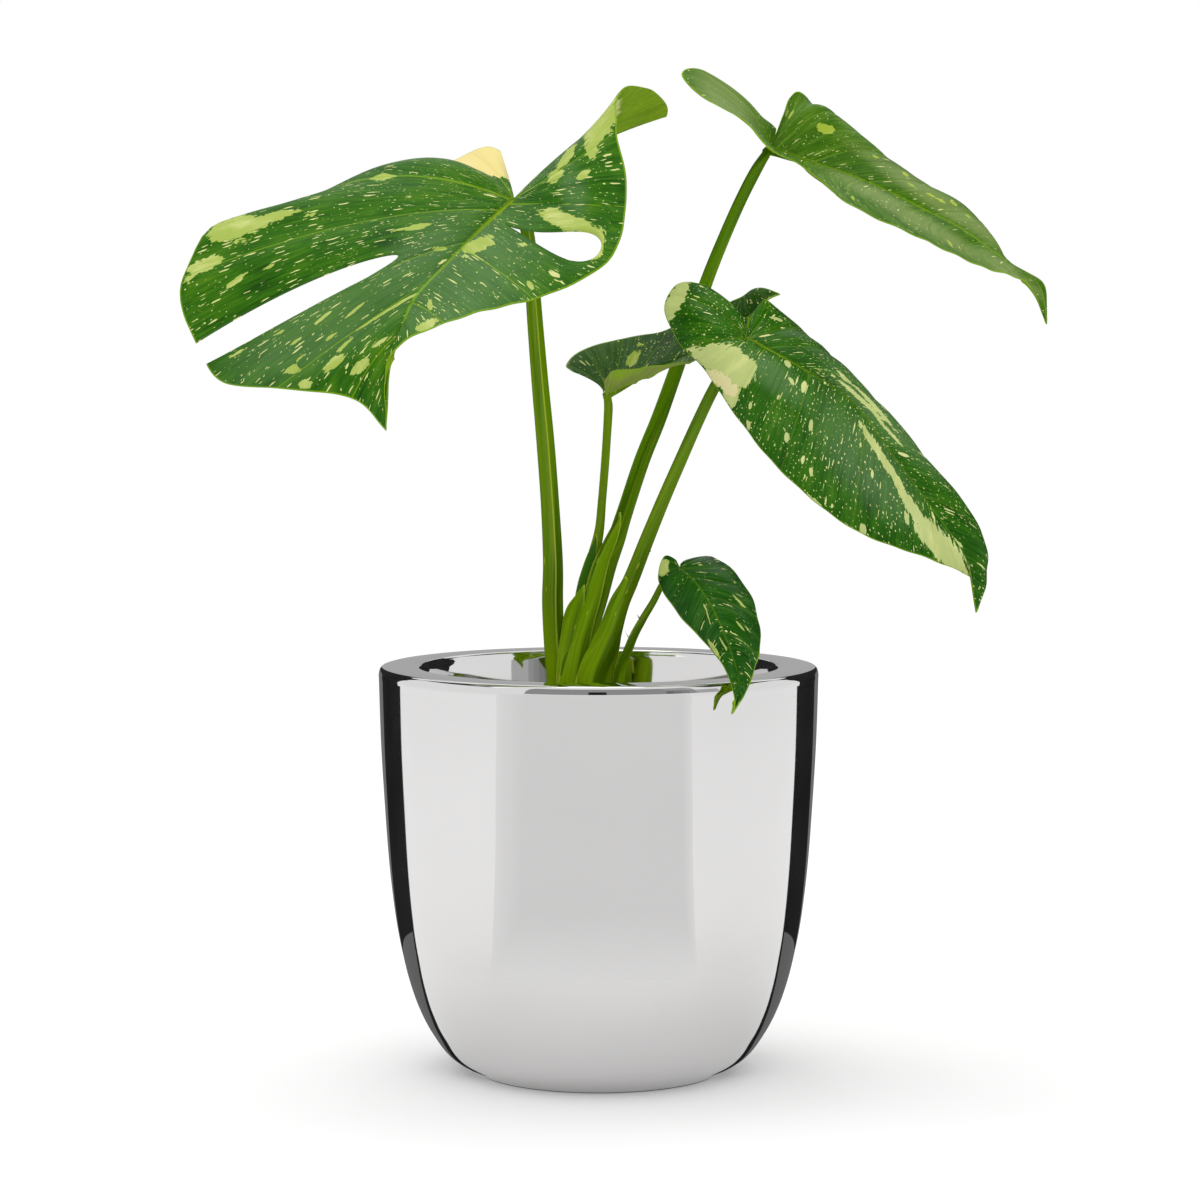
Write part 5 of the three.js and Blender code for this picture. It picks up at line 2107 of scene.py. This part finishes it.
    blade_d = Blade(
        "leaf_d",
        LeafFinish("leaf_d", deep=ink(28, 62, 8), middle=ink(46, 88, 20), pale=ink(84, 114, 56), dots=0.6,
                   dashes=0.2, blotches=0.1, lines=0.3, under=ink(132, 140, 74)),
        midrib=[
            (4, 341, 0), (17, 347, -3), (32, 354, -4), (47, 361, -5), (62, 369, -6), (76, 380, -6),
            (84, 389, -6), (90, 390, -4),
        ],
        right=[
            (0, 3, 343, 7, 3, 348, 14), (0, 6, 344, 12, 8, 352, 24), (0.05, 13, 346, 15, 20, 353, 28),
            (0.2, 26, 349, 13, 34, 355, 26), (0.42, 44, 356, 9, 47, 357, 20),
            (0.65, 62, 363, 5, 66, 364, 12), (0.85, 79, 382, -4, 81, 385, -1),
        ],
        left=[
            (0, -3, 347, -3, -15, 352, -6), (0, -4, 349, -7, -16, 355, -12),
            (0, -1, 351, -12, -10, 361, -24), (0, 7, 353, -16, 8, 367, -33),
            (0.1, 22, 358, -20, 30, 371, -36), (0.35, 46, 367, -16, 52, 379, -28),
            (0.6, 65, 377, -14, 68, 387, -22), (0.8, 79, 389, -9, 80, 393, -12),
        ],
        laterals={right: [0.7, 1.8, 3.0, 4.0, 5.0, 6.0], left: [1.0, 2.2, 3.2, 4.2, 5.2, 6.2]},
        splashes={
            right: [(2, 352, 2.5, 1, 60)],
            left: [(17, 357, 4.5, 2.2, 48), (21, 364, 2, 0.7, 0)],
        },
        rows=32,
        rib_width=1.1,
    )
    blade_e = Blade(
        "leaf_e",
        LeafFinish("leaf_e", deep=ink(12, 56, 2), middle=ink(30, 86, 8), pale=ink(70, 116, 40), dots=0.3,
                   cream=ink(176, 190, 100), dashes=0.3, blotches=0.02, lines=0.2, gloss=0.34),
        midrib=[
            (40, 254, 36), (48, 247, 50), (55, 237, 62), (61, 225, 73), (66, 212, 83), (70, 199, 91),
            (69, 189, 97), (67, 180, 100),
        ],
        right=[
            (0, 39, 257, 33, 37, 258, 30), (0, 37, 257, 32, 33, 259, 27), (0, 35, 253, 34, 30, 251, 28),
            (0, 36, 249, 38, 31, 244, 34), (0.15, 45, 237, 53, 41, 229, 52),
            (0.4, 56, 221, 68, 54, 215, 68), (0.66, 65, 206, 85, 63, 203, 87),
            (0.86, 69, 191, 97, 68, 188, 99),
        ],
        left=[
            (0, 43, 257, 32, 46, 257, 26), (0, 49, 257, 34, 57, 259, 22),
            (0.03, 58, 251, 42, 68.5, 250.5, 28), (0.15, 65, 242, 52, 77.5, 236, 42),
            (0.35, 70, 227, 66, 81, 217, 62), (0.6, 72, 208, 81, 78, 202, 80),
            (0.84, 71, 192, 94, 73, 189, 95),
        ],
        laterals={right: [1.2, 2.4, 3.6, 4.6, 5.6, 6.6, 7.4], left: [0.8, 1.7, 2.6, 3.5, 4.5, 5.4]},
        splashes={
            right: [
                (33, 253, 4, 2.2, 72), (29, 254, 2, 1.5, 60), (55, 230, 5.5, 0.35, -68),
                (58, 213, 5.5, 1, -60), (63, 215, 3.5, 0.4, -65), (67, 211, 3, 0.4, -65),
            ],
            left: [
                (69, 237, 2.6, 0.35, -38), (72, 234, 2, 0.3, -38), (70, 224, 3.4, 0.45, -48),
                (74, 222, 2.8, 0.35, -45), (52, 254, 1.8, 0.35, 0), (68, 246, 1, 0.5, 20),
            ],
        },
        rows=32,
        vein_width=0.5,
        rib_width=0.8,
        rib_step=0.016,
    )
    return {"a": blade_a, "b": blade_b, "c": blade_c, "d": blade_d, "e": blade_e}


def foliage() -> Foliage:
    """Gives the plant above the soil.

    Returns:
        The blades, stalks, sheaths and spurs.
    """
    blades = leaves()
    stalks = [
        Stalk("petiole_a", StalkFinish("stalk_a"), [
            (-18, 170, -8.5, 6, 4), (-20.5, 197, -8.5, 5.5, 4), (-22.3, 217, -8, 5.2, 4.3),
            (-23, 237, -6, 5.3, 4.7), (-22.8, 257, -3, 5, 4.8), (-24.3, 287, -1, 4.6, 4.4),
            (-26.5, 317, 1, 4.5, 4.3), (-29.2, 347, 3, 4.2, 4), (-31.6, 377, 5, 3.9, 3.8),
            (-34, 410, 7, 3.5, 3.4), (-36.5, 426, 9.5, 3.1, 3), (-39.7, 432.8, 13.3, 2.3, 2.3),
            (-41.1, 434.9, 15.5, 1.2, 1.2),
        # Stalk A has the painted highlight down its whole crest.
        ], blades["a"], crest=5.0, line=0.9),
        Stalk("petiole_b", StalkFinish("stalk_b", high=ink(92, 134, 2)), [
            (-9, 170, 0, 7, 4.2), (-12.5, 197, 0, 7, 4.2), (-8, 217, -2, 6.3, 4.2),
            (-1.5, 237, -7, 5.8, 4.2), (3.5, 255, -13, 5.6, 4.2), (8.8, 268, -18, 4.6, 4.1),
            (13, 281, -22, 4.1, 4), (21.6, 307, -30, 4, 4), (29.6, 327, -35, 3.9, 3.9),
            (36.8, 347, -40, 3.7, 3.7), (45.5, 372, -43, 3.5, 3.5), (54, 397, -45, 3.3, 3.3),
            (62, 417, -46.5, 3.1, 3.1), (70.4, 436, -47.5, 3, 3), (77.5, 450, -48, 2.9, 2.9),
            (82.7, 458.4, -48, 2.3, 2.3), (84.3, 460.7, -48, 1.2, 1.2),
        ], blades["b"]),
        Stalk("petiole_c", StalkFinish("stalk_c", high=ink(104, 138, 24)), [
            (-1, 170, 10, 7, 4.4), (-2, 197, 10, 8.8, 4.4), (2.5, 212, 10, 7.5, 4.3),
            (6.5, 224, 9.5, 5.8, 4.2), (10.5, 236, 9.5, 5, 4), (16, 247, 10, 4, 3.8),
            (23.9, 267, 12, 3.6, 3.5), (32.1, 287, 14, 3.3, 3.3), (40.8, 307, 17, 3.1, 3.1),
            (49.7, 327, 20, 2.9, 2.9), (57.5, 343, 24, 2.8, 2.8), (66, 357, 28, 2.7, 2.7),
            (71.7, 365, 31.1, 2.2, 2.2), (73.2, 367, 32.5, 1.2, 1.2),
        ], blades["c"]),
        Stalk("petiole_d", StalkFinish("stalk_d", foot=ink(98, 132, 10), low=ink(112, 144, 12)), [
            (-8, 170, -13, 3, 2.8), (-9, 200, -13, 3.4, 2.8), (-8.5, 225, -12.5, 4.1, 2.6),
            (-6, 243, -17, 4, 2.5), (-3, 257, -21, 3.3, 2.4), (0.3, 272, -19, 2.4, 2.3),
            (1.7, 287, -16, 2.1, 2.1), (3.2, 305, -12, 2.1, 2.1), (4.2, 320, -7.5, 2.1, 2.1),
            (4.9, 333, -3, 2.2, 2.2), (4.6, 337.6, -1.4, 2, 2), (4.3, 339, -0.8, 1.2, 1.2),
        ], blades["d"]),
        # Painted light: stalk E's lower colour is lighter than the other stalks' to make up for the shade
        # that its leaf casts on it.
        Stalk("petiole_e", StalkFinish("stalk_e", foot=ink(124, 166, 8), low=ink(140, 178, 20)), [
            (9.5, 170, 11, 2.6, 2.6), (10.4, 197, 12, 2.6, 2.6), (16.2, 216, 15, 2.2, 2.2),
            (21.7, 227, 16.5, 1.9, 1.9), (27.6, 237, 18, 1.7, 1.7), (32.5, 246.5, 21.5, 1.5, 1.5),
            (37.4, 252.4, 29.2, 1.3, 1.3), (39.2, 253.5, 34, 0.9, 0.9),
        ], blades["e"], sink=0.9),
    ]
    flap = StalkFinish("sheath", foot=ink(122, 160, 2), low=ink(108, 146, 2), high=ink(104, 142, 4),
                       pale=ink(190, 208, 70))
    dark_flap = StalkFinish("sheath_dark", foot=ink(64, 112, 18), low=ink(56, 104, 16), high=ink(52, 98, 14))
    sheaths = [
        Sheath("sheath_between", flap, [
            ((-22, 172, -2), (-17, 172, 2), (-12, 172, 2)),
            ((-21, 200, -3), (-16.5, 200, 1), (-11, 200, 0)),
            ((-18.5, 222, -4), (-14, 222, 0), (-8, 222, -2)),
            ((-16, 233, -5), (-12, 234, -3), (-7, 236, -4)),
            ((-11, 240, -6), (-9, 241.5, -5), (-7, 243, -5)),
            ((-7.4, 244.6, -6), (-7.1, 244.9, -6), (-6.9, 245, -6)),
        ]),
        Sheath("sheath_b", flap, [
            ((-20, 180, 0), (-13, 180, 5.4), (-5, 180, 4)),
            ((-20, 197, 0), (-13.4, 197, 5.2), (-6, 197, 4)),
            ((-15, 217, -3), (-10, 217, 3), (-4, 218, 1.8)), ((-8.2, 237, -8), (-4, 237, -2), (1, 238, -3)),
            ((-2.8, 255, -14), (1.2, 255, -8), (5, 256, -9)),
            ((3.4, 268, -19), (6.4, 268, -13.2), (9.6, 269, -13.6)),
            ((7.8, 276, -21), (9.4, 276, -17.2), (11.2, 277, -17)),
            ((10.5, 281, -19), (10.8, 281.2, -18.4), (11.2, 281.3, -18)),
        ]),
        Sheath("sheath_c", flap, [
            ((-11.3, 180, 9), (-2, 180, 15.4), (7, 180, 10)),
            ((-11.3, 197, 9), (-2, 197, 15.4), (7.3, 198, 10)),
            ((-4.6, 212, 8.5), (3, 212, 15.2), (10.2, 213, 10)),
            ((1.2, 224, 8), (6.5, 224, 14.4), (11.8, 225, 10)),
            ((6, 236, 8), (10, 236, 13.9), (14.6, 237, 10)),
            ((11.2, 245, 9), (13, 245.5, 13.4), (15, 246, 12.8)),
            ((12.9, 249, 12.6), (13.3, 249.2, 12.9), (13.7, 249.3, 13)),
        ]),
        Sheath("sheath_d", dark_flap, [
            ((-13, 205, -14), (-9, 205, -9.6), (-4, 205, -11)),
            ((-13, 226, -13.5), (-8.5, 226, -9.4), (-4, 226, -11)),
            ((-10.8, 243, -16), (-8, 243, -13), (-3.6, 243, -13.6)),
            ((-7, 256, -20), (-4.8, 256, -17.4), (-1.4, 257, -17.8)),
            ((-3.2, 265, -20), (-2, 265.4, -17.6), (-0.4, 266, -17.4)),
            ((-1.3, 270, -18), (-1, 270.2, -17.4), (-0.7, 270.3, -17)),
        ]),
    ]
    dry = EarthFinish("dry_scale", ink(70, 62, 30), ink(128, 116, 62), 900, 0.7, 0.0003)
    spurs = [
        Spur("joint_c", StalkFinish("joint", high=ink(122, 156, 10)), [
            (73.6, 366, 28), (74.2, 371, 23), (74.6, 376, 18), (74.8, 379, 15),
        ], 1.7),
        Spur("spur_e", dry, [(23.0, 226, 17), (21.6, 227.4, 17.6), (20.2, 228.6, 18), (19.4, 230, 18)], 0.8),
        Spur("wisp_e", dry, [(15.6, 217.4, 15), (14.6, 219.3, 15.6), (13.2, 222, 16)], 0.3),
        Spur("scar_c", dry, [(23.4, 261.2, 12), (25.2, 261.8, 12.4), (26.2, 262, 12.4)], 1.2),
    ]
    return Foliage(blades, stalks, sheaths, spurs)


def main() -> None:
    """Builds the studio, the planter, its mix and the plant."""
    logging.basicConfig(level=logging.INFO, format="%(name)s: %(message)s")
    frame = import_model()
    log.info("the frame has %d nodes", len(frame["nodes"]))
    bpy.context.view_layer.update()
    Studio().build()
    pieces = [*Planter().build(), *PottingMix().build(), *foliage().build()]
    counts = [count_triangles(piece) for piece in pieces]
    for piece, count in zip(pieces, counts):
        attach(piece, BODY)
        log.info("%s: %d triangles", piece.name, count)
    log.info("all pieces: %d triangles", sum(counts))


if __name__ == "__main__":
    main()
